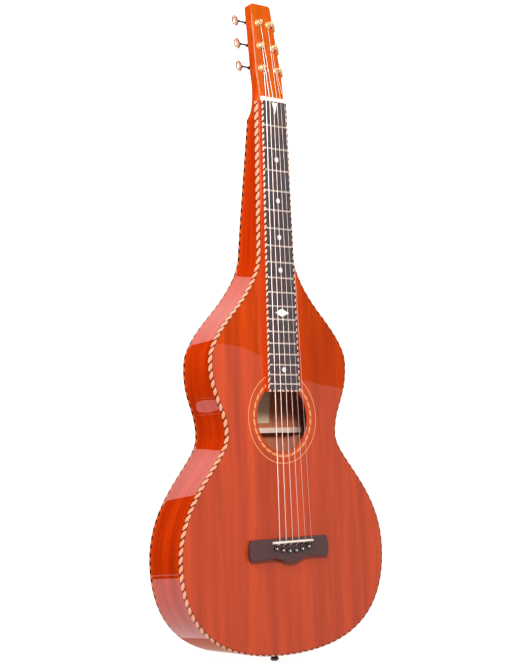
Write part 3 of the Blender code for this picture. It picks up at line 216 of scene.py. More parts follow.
def mahogany(name, light, middle, dark, useUv=False, ribbon=0.75, pores=0.5, skin=0.65):
    # Mahogany, planed, stained and under polished varnish: a clear mirror skin over streaky wood
    look = mahoganyLook
    material, tree, shader = newMaterial(name, {
        "IOR": 1.5, "Coat Weight": skin, "Coat Roughness": 0.015, "Coat IOR": 1.5,
        "Specular IOR Level": 0.0})
    place = addNode(tree, "TexCoord").outputs["UV" if useUv else "Object"]
    # The grain runs along the body: Y in the model, the first UV coordinate round the sides
    turn = addNode(tree, "Mapping", {
        "Vector": place, "Rotation": (0, 0, math.pi / 2 if useUv else 0)})
    drift = addNode(tree, "TexNoise", {"Vector": turn, "Scale": 9.0, "Detail": 2.0})
    centred = addNode(tree, "VectorMath", {
        0: drift.outputs["Color"], 1: (0.5, 0.5, 0.5)}, operation="SUBTRACT")
    bend = addNode(tree, "VectorMath", {
        0: centred, 1: (look["wave"] * 2,) * 3}, operation="MULTIPLY")
    bent = addNode(tree, "VectorMath", {0: turn, 1: bend}, operation="ADD")

    def streaks(size, detail, coordinates, low, high, most=1.0, ease="LINEAR"):
        # Noise drawn out along the grain: 0 up to its low level, most from its high level on
        width, length = size
        scaled = addNode(tree, "Mapping", {
            "Vector": coordinates, "Scale": (1 / width, 1 / length, 1 / width)})
        noise = addNode(tree, "TexNoise", {
            "Vector": scaled, "Scale": 1.0, "Detail": detail, "Roughness": 0.55})
        return addNode(tree, "MapRange", {
            "Value": noise, "From Min": low, "From Max": high, "To Max": most},
            interpolation_type=ease)

    figure = streaks(look["ribbon"], 3.0, bent, 0.33, 0.67, ribbon, "SMOOTHSTEP")
    fine = streaks(look["grain"], 4.0, bent, 0.25, 0.75)
    band = streaks(look["band"], 1.0, bent, 0.50, 0.74, look["bandShare"], "SMOOTHSTEP")
    pore = streaks(look["pore"], 2.0, turn, 0.62, 0.74)
    streak = addNode(tree, "Math", {0: fine, 1: look["grainShare"]}, operation="MULTIPLY")
    dash = addNode(tree, "Math", {0: pore, 1: pores}, operation="MULTIPLY")
    colour = srgb(light)
    for share, stain in ((figure, middle), (streak, middle), (band, dark), (dash, dark)):
        colour = addNode(tree, "Mix", {"Factor": share, "A": colour, "B": srgb(stain)},
                         data_type="RGBA")
    # The varnish itself lies in very shallow waves, a few centimetres apart
    waves = addNode(tree, "TexNoise", {"Vector": place, "Scale": 28.0, "Detail": 1.0})
    setInputs(shader, {
        "Base Color": colour,
        "Roughness": addNode(tree, "MapRange", {
            "Value": fine, "To Min": look["dull"][0], "To Max": look["dull"][1]}),
        "Normal": addNode(tree, "Bump", {
            "Height": pore, "Strength": 0.25, "Distance": look["poreDepth"]}, invert=True),
        "Coat Normal": addNode(tree, "Bump", {
            "Height": waves, "Strength": 0.05, "Distance": look["varnishWave"]})})
    return material


soundboardWood = mahogany("mahoganySoundboard", "DA4B14", "AA3411", "78240C", ribbon=0.6)
sideWood = mahogany("mahoganySides", "D03C06", "A22004", "6C1604", useUv=True, skin=1.0)
backWood = mahogany("mahoganyBack", "CC4410", "A4300A", "742208", skin=1.0)
headWood = mahogany("mahoganyHeadstock", "CC6016", "BC480A", "963608", pores=0.35, skin=0.3)
neckWood = mahogany("mahoganyNeck", "D2500E", "A83206", "7C2206", skin=1.0)


ropeLook = {
    "pitch": 0.0117,  # one light and one dark strand of the body's rope
    "boardPitch": 0.0088, "rosettePitch": 0.0125,
    "lean": 0.75, "rosetteLean": 0.8,  # how far a strand runs on for each step across
    "aged": "D07038", "agedShare": 0.45,  # the amber that streaks the pale strands
    "plainWood": "C03A08",  # the stained side beside the strip
    "strandEdge": 0.04, "lineEdge": 0.0001,  # how softly colours meet
}


def rope(name, pitch, lean, lightShare, reach, edge, plain, light, dark, line):
    # Rope marquetry: slanted strands of pale maple and dark rosewood, under varnish. UV x is the
    # distance along the strip and UV y the distance across it, from its middle.
    look = ropeLook
    material, tree, shader = newMaterial(name, {
        "Coat Weight": 0.8, "Coat Roughness": 0.04, "Coat IOR": 1.5, "Specular IOR Level": 0.0})
    place = addNode(tree, "TexCoord").outputs["UV"]
    along, across = addNode(tree, "SeparateXYZ", {"Vector": place}).outputs[:2]
    # A point is pale where |fract((along + lean across) / pitch) - 1/2| is less than half the
    # light share times 1 - (across / reach)^4. It is line dark beyond the edge distance, and
    # plain side wood where across is more than the plain distance.
    slanted = addNode(tree, "Math", {0: across, 1: lean, 2: along}, operation="MULTIPLY_ADD")
    turns = addNode(tree, "Math", {0: slanted, 1: pitch}, operation="DIVIDE")
    phase = addNode(tree, "Math", {0: turns}, operation="FRACT")
    fromMiddle = addNode(tree, "Math", {0: phase, 1: 0.5}, operation="SUBTRACT")
    away = addNode(tree, "Math", {0: fromMiddle}, operation="ABSOLUTE")
    sideways = addNode(tree, "Math", {0: across}, operation="ABSOLUTE")
    side = addNode(tree, "Math", {0: sideways, 1: reach}, operation="DIVIDE")
    blunt = addNode(tree, "Math", {0: side, 1: 4.0}, operation="POWER")
    narrowed = addNode(tree, "Math", {0: blunt, 1: lightShare / 2, 2: away},
                       operation="MULTIPLY_ADD")
    streaks = addNode(tree, "TexNoise", {"Vector": place, "Scale": 900.0, "Detail": 3.0})
    shade = addNode(tree, "Math", {0: streaks, 1: look["agedShare"]}, operation="MULTIPLY")
    colour, deep = [addNode(tree, "Mix", {"Factor": shade, "A": srgb(fresh), "B": srgb(old)},
                            data_type="RGBA")
                    for fresh, old in ((light, look["aged"]), (dark, line))]
    for value, at, soft, beyond in (
            (narrowed, lightShare / 2, look["strandEdge"], deep),
            (sideways, edge, look["lineEdge"], srgb(line)),
            (across, plain, look["lineEdge"], srgb(look["plainWood"]))):
        share = addNode(tree, "MapRange", {
            "Value": value, "From Min": at - soft, "From Max": at + soft})
        colour = addNode(tree, "Mix", {"Factor": share, "A": colour, "B": beyond},
                         data_type="RGBA")
    setInputs(shader, {"Base Color": colour, "Roughness": addNode(tree, "MapRange", {
        "Value": streaks, "To Min": 0.34, "To Max": 0.5})})
    return material


edgeRope = rope(
    "ropeMarquetryEdge", ropeLook["pitch"], ropeLook["lean"], lightShare=0.69, reach=0.0050,
    edge=0.0041, plain=0.0048, light="F8B08A", dark="8A2810", line="64200E")
backRope = rope(
    "ropeMarquetryBack", ropeLook["pitch"], ropeLook["lean"], lightShare=0.46, reach=0.0052,
    edge=0.0046, plain=0.0016, light="D87440", dark="40100A", line="34100A")
boardRope = rope(
    "ropeMarquetryBoard", ropeLook["boardPitch"], ropeLook["lean"], lightShare=0.62, reach=0.0060,
    edge=0.0044, plain=-0.0007, light="FCDCC6", dark="4A1C14", line="2A1210")
rosetteRope = rope(
    "ropeMarquetryRosette", ropeLook["rosettePitch"], ropeLook["rosetteLean"], lightShare=0.7,
    reach=0.0026, edge=0.00185, plain=1.0, light="F49C58", dark="D05A24", line="C44E1C")


def twoTone(shader, share, first, second, dull):
    # Colour and roughness go from one end of their range to the other with the share
    tree = shader.id_data
    setInputs(shader, {
        "Base Color": addNode(tree, "Mix", {
            "Factor": share, "A": srgb(first), "B": srgb(second)}, data_type="RGBA"),
        "Roughness": addNode(tree, "MapRange", {
            "Value": share, "To Min": dull[0], "To Max": dull[1]})})


def plainWood(name, light, dark, grainWidth, grainLength, roughness, coat=0.0, alongX=False):
    # Quarter-sawn wood left bare inside, oiled, or inlaid: fine straight lines, dull
    material, tree, shader = newMaterial(name, {
        "Coat Weight": coat, "Coat Roughness": 0.05, "Specular IOR Level": 0.35})
    short, long = 1 / grainWidth, 1 / grainLength
    scaled = addNode(tree, "Mapping", {
        "Vector": addNode(tree, "TexCoord").outputs["Object"],
        "Scale": (long, short, short) if alongX else (short, long, short)})
    lines = addNode(tree, "TexNoise", {
        "Vector": scaled, "Scale": 1.0, "Detail": 4.0, "Roughness": 0.6})
    share = addNode(tree, "MapRange", {"Value": lines, "From Min": 0.3, "From Max": 0.7})
    twoTone(shader, share, light, dark, (roughness - 0.06, roughness + 0.06))
    setInputs(shader, {"Normal": addNode(tree, "Bump", {
        "Height": lines, "Strength": 0.3, "Distance": 0.00008})})
    return material


spruce = plainWood("spruceBare", "E8CC9E", "C9A26E", 0.0016, 0.08, 0.7)
spruceAcross = plainWood("spruceBareAcross", "FFEEDC", "F8D6B8", 0.0016, 0.08, 0.7, alongX=True)
innerMahogany = plainWood("mahoganyBare", "DC8C66", "B46446", 0.0011, 0.04, 0.65)
# Dark bare mahogany for the back linings: painted shade, standing in for the shadow that falls on
# them inside the body
paintedShadeWood = plainWood("mahoganyBarePaintedShade", "6A3C2C", "4C281E", 0.0011, 0.04, 0.7)
mapleLine = plainWood("mapleInlay", "F6A65E", "E88E48", 0.0009, 0.02, 0.4, coat=0.8)
ebony = plainWood("ebonyOiled", "54484A", "30282A", 0.0007, 0.03, 0.46)
bridgeWood = plainWood("rosewoodOiled", "5A3A38", "3A2424", 0.0008, 0.03, 0.5, alongX=True)


def clouded(name, first, second, dull, values, scale, detail, span=(0, 1), distortion=0.0):
    # Two close shades in soft clouds, drawn out where the scale isn't the same on each axis
    material, tree, shader = newMaterial(name, values)
    scaled = addNode(tree, "Mapping", {
        "Vector": addNode(tree, "TexCoord").outputs["Object"], "Scale": scale})
    cloud = addNode(tree, "TexNoise", {
        "Vector": scaled, "Scale": 1.0, "Detail": detail, "Distortion": distortion})
    share = addNode(tree, "MapRange", {"Value": cloud, "From Min": span[0], "From Max": span[1]})
    twoTone(shader, share, first, second, dull)
    return material


def plated(name, bright, worn, roughness, grain=700.0):
    # Gold plate over brass, or plain metal, polished then handled: clouded by fine rubbing marks
    return clouded(name, bright, worn, (roughness * 0.75, roughness * 1.35), {"Metallic": 1.0},
                   (grain,) * 3, 4.0, (0.35, 0.7))


# Bleached cattle bone, sawn and buffed: warm white with faint long pores, a soft shine
bone = clouded("boneBuffed", "FFFBF2", "E6DAC2", (0.28, 0.45), {
    "IOR": 1.54, "Subsurface Weight": 0.08, "Subsurface Radius": (0.004, 0.003, 0.002),
    "Subsurface Scale": 0.4}, (160, 1400, 1400), 3.0)
# Black horn, turned and buffed: nearly black with a faint brown cloud and a soft shine
horn = clouded("hornBuffed", "0E0C10", "261C1E", (0.18, 0.36), {"IOR": 1.54}, (260,) * 3, 3.0)
# Mother of pearl, ground flat: white with cloudy pink and green bands that catch the light
pearl = clouded("motherOfPearl", "FFF6F2", "DDE8E2", (0.16, 0.3), {
    "IOR": 1.55, "Coat Weight": 0.4, "Coat Roughness": 0.05}, (420,) * 3, 2.0, (0.35, 0.65), 1.2)
gold = plated("goldPlate", "FFE6AC", "F4CE88", 0.36)
# Gold plate on the button grips, tinted rose: the gold is real, the rose tint is a painted
# reflection of the red body round them
reflectionTintedGold = plated("goldPlateReflectionTinted", "ECC6AE", "D4A890", 0.13, 300.0)
plateGold = plated("goldPlateDull", "DDB068", "B98238", 0.3)
steelDark = plated("steelBlued", "5A5048", "3A322C", 0.3)
fretMetal = plated("nickelSilver", "E8D6CA", "C8B2A4", 0.34)
plainSteel = plated("musicWire", "F0E4DE", "D0C4BC", 0.4)


def paperLook():
    # Old laid paper: cream, matt, with fine ribs about a millimetre apart and a few tanned clouds
    material, tree, shader = newMaterial("laidPaper", {
        "Roughness": 0.85, "Specular IOR Level": 0.2})
    place = addNode(tree, "TexCoord").outputs["Object"]
    ribs = addNode(tree, "TexWave", {
        "Vector": place, "Scale": 310.0, "Distortion": 0.4, "Detail": 1.0})
    cloud = addNode(tree, "TexNoise", {"Vector": place, "Scale": 60.0, "Detail": 3.0})
    setInputs(shader, {
        "Base Color": addNode(tree, "Mix", {
            "Factor": cloud, "A": srgb("FFEACC"), "B": srgb("F8CEA2")}, data_type="RGBA"),
        "Normal": addNode(tree, "Bump", {
            "Height": ribs.outputs["Fac"], "Strength": 0.2, "Distance": 0.00005})})
    return material


def woundLook(wrap):
    # Round-wound string: bronze wire laid round a core. The real wraps are a quarter of a
    # millimetre apart, too fine to show, so they are drawn twice as coarse. UV x is the distance
    # along the string.
    material, tree, shader = newMaterial("bronzeWound", {"Metallic": 1.0, "Roughness": 0.35})
    split = addNode(tree, "SeparateXYZ", {"Vector": addNode(tree, "TexCoord").outputs["UV"]})
    turns = addNode(tree, "Math", {0: split, 1: 2 * math.pi / wrap}, operation="MULTIPLY")
    ridge = addNode(tree, "Math", {0: turns}, operation="SINE")
    share = addNode(tree, "MapRange", {"Value": ridge, "From Min": -1.0, "From Max": 1.0})
    # Pale on each wrap's crest and darker in the groove between, following the bump: painted shade
    # in the grooves
    setInputs(shader, {
        "Base Color": addNode(tree, "Mix", {
            "Factor": share, "A": srgb("DCC2B8"), "B": srgb("FFECE6")}, data_type="RGBA"),
        "Normal": addNode(tree, "Bump", {
            "Height": share, "Strength": 0.5, "Distance": 0.00008})})
    return material


paper = paperLook()
bronzeWound = woundLook(0.0006)
print("Materials made")


# Body outline, the same curves as the model's but drawn finer

scaleLength = 0.635
bodyShape = {
    "neckHalfWidth": 0.0280, "neckRoot": (0.0337, 0.3543 * scaleLength),
    "shoulder": (0.0848, 0.4846 * scaleLength), "shoulderAngle": 45.9,
    "upperBout": (0.1315, 0.6000 * scaleLength), "waist": (0.1053, 0.7606 * scaleLength),
    "lowerBout": (0.1948, 1.0315 * scaleLength), "tail": (0.0, 1.2512 * scaleLength),
    # How far each curve from the neck to the tail pulls at its start and at its end
    "runs": (0.031, 0.021, 0.060, 0.014, 0.049, 0.040, 0.036, 0.091, 0.080, 0.146),
    "steps": (20, 20, 26, 34, 50), "leastStep": 0.0004,
    "boardThickness": 0.0028, "backThickness": 0.0028, "sideThickness": 0.0023,
    "bassFigure": 1.3,  # how far along the plank the bass side was cut
    "innerFigure": 0.1,  # how far across it the figure of the inside is taken
    "bindingWidth": 0.0026, "bindingHeight": 0.0070, "bindingRound": 0.0005, "bindingSteps": 5,
    "heelEnd": 0.0240, "flatBack": 0.7717 * scaleLength, "bodyDepth": 0.0710,
}
depthSteps = ((0.0240, 0.0229), (0.3780 * scaleLength, 0.0495), (0.5512 * scaleLength, 0.0578),
              (bodyShape["flatBack"], bodyShape["bodyDepth"]))


def halfOutline():
    # The treble half of the body's edge as (x, v), from the nut to the tail
    s = bodyShape
    root, shoulder = np.array(s["neckRoot"]), np.array(s["shoulder"])
    upper, waist = np.array(s["upperBout"]), np.array(s["waist"])
    lower, tail = np.array(s["lowerBout"]), np.array(s["tail"])
    nut = np.array([s["neckHalfWidth"], 0.0])
    neckAlong = (root - nut) / np.linalg.norm(root - nut)
    turn = math.radians(s["shoulderAngle"])
    shoulderAlong = np.array([math.sin(turn), math.cos(turn)])
    down, across = np.array([0.0, 1.0]), np.array([1.0, 0.0])
    r, n = s["runs"], s["steps"]
    return np.concatenate([
        nut + (root - nut) * np.linspace(0, 1, 24)[:, None],
        bezier(root, root + r[0] * neckAlong, shoulder - r[1] * shoulderAlong, shoulder, n[0]),
        bezier(shoulder, shoulder + r[2] * shoulderAlong, upper - r[3] * down, upper, n[1]),
        bezier(upper, upper + r[4] * down, waist - r[5] * down, waist, n[2]),
        bezier(waist, waist + r[6] * down, lower - r[7] * down, lower, n[3]),
        bezier(lower, lower + r[8] * down, tail + r[9] * across, tail, n[4]),
    ])


def inset(path, distance):
    # Each point moves inwards along the mitre of its two neighbouring edges
    step = np.diff(path, axis=0)
    normal = np.stack([step[:, 1], -step[:, 0]], 1)
    normal /= np.linalg.norm(normal, axis=1)[:, None]
    before = np.concatenate([normal[:1], normal])
    after = np.concatenate([normal, normal[-1:] * (-1, 1)])
    middle = before + after
    middle /= np.linalg.norm(middle, axis=1)[:, None]
    return path - middle / (middle * after).sum(1)[:, None] * distance


def fromPlace(start, distance=0.0):
    # The outline, moved inwards by a distance, from a place v onwards
    path = inset(outline, distance)
    first = [np.interp(start, path[:, 1], path[:, 0]), start]
    return np.concatenate([[first], path[outline[:, 1] > start + bodyShape["leastStep"]]])


def bothSides(path):
    # A treble path carried on round the tail and back up the bass side
    return np.concatenate([path, path[-2::-1] * (-1, 1)])


def bodyDepthAt(v):
    # Cubic curve through the depth steps, level beyond the last one
    at, value = np.array(depthSteps).T
    rise = np.diff(value) / np.diff(at)
    slope = np.concatenate([rise[:1], (rise[:-1] + rise[1:]) / 2, [0]])
    v = np.clip(np.asarray(v, float), at[0], at[-1])
    i = np.clip(np.searchsorted(at, v, side="right") - 1, 0, len(rise) - 1)
    span = at[i + 1] - at[i]
    t = (v - at[i]) / span
    return (value[i] * (1 + 2 * t) * (1 - t) ** 2 + slope[i] * span * t * (1 - t) ** 2
            + value[i + 1] * t ** 2 * (3 - 2 * t) + slope[i + 1] * span * t ** 2 * (t - 1))


outline = halfOutline()

rosette = {
    "centre": 0.7219 * scaleLength, "holeRadius": 0.0490, "edgeRound": 0.0007,
    "ropeRadius": 0.05505, "ropeWidth": 0.0039, "lineRadius": 0.0655, "lineWidth": 0.0012,
    "inlay": 0.0012, "ringSteps": 144,
}


def makeSoundboard():
    # Cross sections run outwards from the soundhole to the edge, with the rosette's two grooves
    r, s = rosette, bodyShape
    rim = bothSides(fromPlace(snug, s["bindingWidth"] + snug))
    nutEdge = np.linspace(rim[-1], rim[0], 8)[1:-1]
    rim = np.concatenate([rim, nutEdge])
    away = rim - (0, r["centre"])
    reach = np.linalg.norm(away, axis=1)[:, None]
    unit = away / reach
    low, groove = -s["boardThickness"], -r["inlay"]
    bend = r["edgeRound"] * (1 - arcSteps(180, 90, 5) * (-1, 1))
    profile = [(r["holeRadius"], low)]
    profile += [(r["holeRadius"] + a, -b) for a, b in bend]
    for radius, width in ((r["ropeRadius"], r["ropeWidth"]), (r["lineRadius"], r["lineWidth"])):
        inner, outer = radius - width / 2 - snug, radius + width / 2 + snug
        profile += [(inner, 0), (inner, groove), (outer, groove), (outer, 0)]
    profile = np.array(profile)
    flat = unit[:, None] * profile[None, :, :1] + (0, r["centre"])
    rings = toWorld(flat[..., 0], flat[..., 1], profile[None, :, 1])
    edge = np.stack([toWorld(rim[:, 0], rim[:, 1], z) for z in (0.0, low)], 1)
    board = sweep("soundboardTop", np.concatenate([rings, edge], 1), soundboardWood, closed=True,
                  sharp=30)
    return belongs(board, "guitar", ["soundboard"])


def makeRosetteRings():
    # A flat ring a hair proud of the board; the rope's pitch divides its round evenly
    r, pitch, steps = rosette, ropeLook["rosettePitch"], rosette["ringSteps"]
    for name, radius, width, material, node, slot in (
            ("rosetteRope", r["ropeRadius"], r["ropeWidth"], rosetteRope, "rosette_rope_ring",
             "rope_inlay"),
            ("rosetteLine", r["lineRadius"], r["lineWidth"], mapleLine, "rosette_line_ring",
             "maple_line")):
        a = np.arange(steps) * 2 * np.pi / steps
        section = np.array([(-0.5, -1), (-0.5, 0), (0, 0), (0.5, 0), (0.5, -1)])
        radii = radius + width * section[:, 0]
        rings = toWorld(radii * np.sin(a)[:, None], r["centre"] + radii * np.cos(a)[:, None],
                        r["inlay"] * section[:, 1] + flush * (section[:, 1] == 0))
        along = np.arange(steps + 1) / steps * round(2 * math.pi * radius / pitch) * pitch
        across = np.concatenate([width * section[:, 0], [-width / 2]])
        ring = sweep(name, rings, material, along, across, closed=True)
        belongs(ring, "guitar", [node])


def ropeStrip(name, node, outer, inner, size, face, downwards, material):
    # A strip between two lines, its outer corner softened. UV y counts from the strip's middle.
    wide, high, bend, steps = size
    corner = bend * (1 - arcSteps(0, 90, steps))
    # The section is (in from the edge, away from the face)
    section = np.concatenate([[(0, high)], corner, [(wide, 0), (wide, high)]])
    share = (section[:, :1] / wide).T[..., None]
    flat = outer[:, None] * (1 - share) + inner[:, None] * share
    rings = toWorld(flat[..., 0], flat[..., 1], face + downwards * section[None, :, 1])
    across = np.concatenate([[high], corner[:, 1] - corner[:, 0], [-wide, -wide, high]])
    strip = sweep(name, rings, material, distanceAlong(outer), across - (high - wide) / 2,
                  sharp=50)
    return belongs(strip, "guitar", [node])


def makeBindings():
    # One strip round the top and one round the back, which follows the body's depth
    s = bodyShape
    wide = s["bindingWidth"]
    size = wide, s["bindingHeight"], s["bindingRound"], s["bindingSteps"]
    for name, node, start, top, material in (
            ("ropeBindingTop", "top_binding", snug, True, edgeRope),
            ("ropeBindingBack", "back_binding", s["heelEnd"] + snug, False, backRope)):
        outer, inner = bothSides(fromPlace(start)), bothSides(fromPlace(start, wide))
        face = 0.0 if top else -bodyDepthAt(outer[:, 1])[:, None]
        ropeStrip(name, node, outer, inner, size, face, -1 if top else 1, material)


def makeSides():
    # Bent boards, UV x along them: down the outside, then up the inside
    s = bodyShape
    outer = fromPlace(s["heelEnd"] + snug)
    inner = fromPlace(s["heelEnd"] + snug, s["sideThickness"])
    # The two sides meet at the tail on the middle line
    outer[-1, 0] = inner[-1, 0] = snug
    length = distanceAlong(outer)
    steps = np.linspace(0, 1, 5)
    for name, node, side in (("sideTreble", "side_treble", 1), ("sideBass", "side_bass", -1)):
        top = -s["bindingHeight"] - snug
        low = s["bindingHeight"] + snug - bodyDepthAt(outer[:, 1])[:, None]
        outerZ = top + (low - top) * steps
        rings = np.concatenate([
            toWorld(side * outer[:, :1], outer[:, 1:], outerZ),
            toWorld(side * inner[:, :1], inner[:, 1:], outerZ[:, ::-1])], 1)
        deep, inside = s["bodyDepth"], s["innerFigure"]
        around = np.concatenate([steps * deep, inside + steps * deep, [2 * inside]])
        figureStart = 0 if side > 0 else s["bassFigure"]
        piece = sweep(name, rings, sideWood, length + figureStart, around, sharp=40)
        belongs(piece, "guitar", [node])


def makeBack():
    # Flat across, and as far below the soundboard as the body is deep at each place
    s = bodyShape
    rim = fromPlace(s["heelEnd"] + snug, s["bindingWidth"] + snug)[:-1]
    across = np.linspace(-1, 1, 9)
    low = -bodyDepthAt(rim[:, 1:])
    lower = toWorld(rim[:, :1] * across, rim[:, 1:], low)
    upper = toWorld(rim[:, :1] * across[::-1], rim[:, 1:], low + s["backThickness"])
    piece = sweep("backPlate", np.concatenate([lower, upper], 1), backWood, sharp=30)
    # Only the outside is varnished
    piece.data.materials.append(innerMahogany)
    paint(piece, lambda normals: normals[:, 2] > 0.5)
    return belongs(piece, "guitar", ["back_plate"])


makeSoundboard()
makeRosetteRings()
makeBindings()
makeSides()
makeBack()
print("Body made")


# Fretboard, frets and pearl markers

fretboard = {
    "thickness": 0.0067, "end": 0.6638 * scaleLength, "atNut": 0.0240, "atEnd": 0.0305,
    "bindingWidth": 0.0026, "bindingRound": 0.0004, "bindingSteps": 4,
    "frets": 18, "fretWidth": 0.0024, "fretHeight": 0.0010,
    "dotRadius": 0.0038, "dotFrets": (3, 5, 7, 9, 17), "diamondFret": 12,
    "diamond": (0.0062, 0.0135), "triangle": (0.0054, 0.0012, 0.0185),
    "inlayStand": 0.00006, "inlayDepth": 0.0008,
}


def boardHalfWidth(v):
    b = fretboard
    return b["atNut"] + (b["atEnd"] - b["atNut"]) * np.asarray(v, float) / b["end"]


def fretPlace(number):
    return scaleLength * (1 - 2 ** (-number / 12))


def makeFretboard():
    b = fretboard
    end = b["end"] - b["bindingWidth"] - snug
    v = np.linspace(snug, end, 60)[:, None]
    half = boardHalfWidth(v) - b["bindingWidth"] - snug
    x = np.array([-1, -1, -0.5, 0, 0.5, 1, 1])
    z = np.array([0, 1, 1, 1, 1, 1, 0])
    rings = toWorld(half * x, v, snug + (b["thickness"] - snug) * z)
    board = sweep("fretboardWood", rings, ebony, sharp=40)
    belongs(board, "guitar", ["fretboard"])

    crown = arcSteps(180, 0, 11) * (0.5, 1)
    for number in range(1, b["frets"] + 1):
        place = fretPlace(number)
        reach = float(boardHalfWidth(place)) - b["bindingWidth"] - fit
        # The crown is low at both ends, where it is filed to a slope
        x = np.array([-1, -0.985, -0.96, -0.5, 0, 0.5, 0.96, 0.985, 1]) * reach
        height = np.array([0.15, 0.7, 1, 1, 1, 1, 1, 0.7, 0.15])[:, None] * b["fretHeight"]
        section = np.concatenate([crown, [(0.5, -0.4), (-0.5, -0.4)]])
        rings = toWorld(x[:, None], place + b["fretWidth"] * section[None, :, 0],
                        b["thickness"] + height * section[None, :, 1])
        belongs(sweep(f"fret_{number:02d}", rings, fretMetal, sharp=50), "guitar")

    def inlay(name, points):
        # A flat pearl plate let into the board, its face a hair above the wood
        rings = np.stack([toWorld(points[:, 0], points[:, 1], b["thickness"] + z)
                          for z in (-b["inlayDepth"], b["inlayStand"] * 0.6, b["inlayStand"])])
        middle = rings[2].mean(0)
        rings[2] = middle + (rings[2] - middle) * 0.99
        belongs(sweep(name, rings, pearl, sharp=30), "guitar")

    circle = arcSteps(0, 360, 37)[:-1]
    for number in b["dotFrets"]:
        middle = (fretPlace(number - 1) + fretPlace(number)) / 2
        inlay(f"markerDot_{number:02d}", circle * b["dotRadius"] + (0, middle))
    middle = (fretPlace(b["diamondFret"] - 1) + fretPlace(b["diamondFret"])) / 2
    wide, long = b["diamond"]
    corners = np.array([(1, 0), (0, 1), (-1, 0), (0, -1)]) * (long, wide)
    inlay("markerDiamond", corners + (0, middle))
    wide, near, far = b["triangle"]
    inlay("markerTriangle", np.array([(-wide, near), (wide, near), (0, far)]))


def makeBoardBinding():
    # Rope strip down both edges of the fretboard and across its end, mitred at the corners
    b = fretboard
    stops = np.array([snug, 0.1, 0.2, 0.3, b["end"]])
    outer = np.stack([boardHalfWidth(stops), stops], 1)
    inner = outer - (b["bindingWidth"], 0)
    innerEnd = b["end"] - b["bindingWidth"]
    inner[-1] = (float(boardHalfWidth(innerEnd)) - b["bindingWidth"], innerEnd)
    outer, inner = [np.concatenate([line, [(0, end)], line[::-1] * (-1, 1)])
                    for line, end in ((outer, b["end"]), (inner, innerEnd))]
    size = b["bindingWidth"], b["thickness"] - snug, b["bindingRound"], b["bindingSteps"]
    ropeStrip("ropeBindingFretboard", "fretboard_binding", outer, inner, size, b["thickness"], -1,
              boardRope)


makeFretboard()
makeBoardBinding()
print("Fretboard made")


# Headstock and heel

headstock = {
    "length": 0.1510, "tilt": 7.5, "rise": 0.0032, "thickness": 0.0142, "thicknessAtNut": 0.0158,
    "atNut": 0.0240, "widest": (0.0250, 0.0480), "tip": 0.0195, "corner": 0.0040,
    "chamfer": 0.0011, "underRound": 0.0012, "flare": 0.0300, "heelBlockEnd": 0.0450,
    "rows": ((0.0505, 0.0152), (0.0855, 0.0128), (0.1212, 0.0104)), "plateToNut": 0.0118,
    "sleeve": 0.0036, "sleeveLength": 0.0040, "ferruleRadius": 0.0047, "ferruleHeight": 0.0009,
    "ferruleBore": 0.0029, "boreReach": (-0.03, 0.01), "lastSection": 0.0015,
    # The collar's rounding: how far in from its edge, and the share of its height there
    "ferruleRound": ((0, 0.45), (0.0002, 0.72), (0.0006, 0.92), (0.0011, 1)),
}
tilt = math.radians(headstock["tilt"])
headAlong = np.array([0, math.cos(tilt), -math.sin(tilt)])
headUp = np.array([0, math.sin(tilt), math.cos(tilt)])


def headPoint(x, s, h):
    # x across, s along the headstock's face from the nut, h above the face
    x, s, h = np.broadcast_arrays(np.asarray(x, float), s, h)
    start = np.array([0, nutY, topZ + headstock["rise"]])
    return (start + x[..., None] * np.array([1.0, 0, 0]) + s[..., None] * headAlong
            + h[..., None] * headUp)


def onPost(local, side, row):
    # Points about a post's own axis, with y towards the tip and z up out of the face
    s, off = headstock["rows"][row]
    return headPoint(side * off + local[..., 0], s + local[..., 1], local[..., 2])


def headHalfWidth(s):
    h = headstock
    wide, at = h["widest"]
    rising = (1 - np.cos(np.pi * np.clip(s / at, 0, 1))) / 2
    falling = np.clip((s - at) / (h["length"] - at), 0, 1) ** 0.85
    return np.where(s < at, h["atNut"] + (wide - h["atNut"]) * rising,
                    wide + (h["tip"] - wide) * falling)


def heelSection(lowHalf, waist, topHalf, top, low):
    # Half a section: softened lower corner, side, chamfered upper edge, then its mirror image
    h = headstock
    corner = (lowHalf, low) + h["underRound"] * (arcSteps(-90, 0, 5) + (-1, 1))
    right = np.concatenate([corner, [(lowHalf, waist), (topHalf, top - h["chamfer"]),
                                     (topHalf - h["chamfer"], top)]])
    return np.concatenate([right, right[::-1] * (-1, 1)])


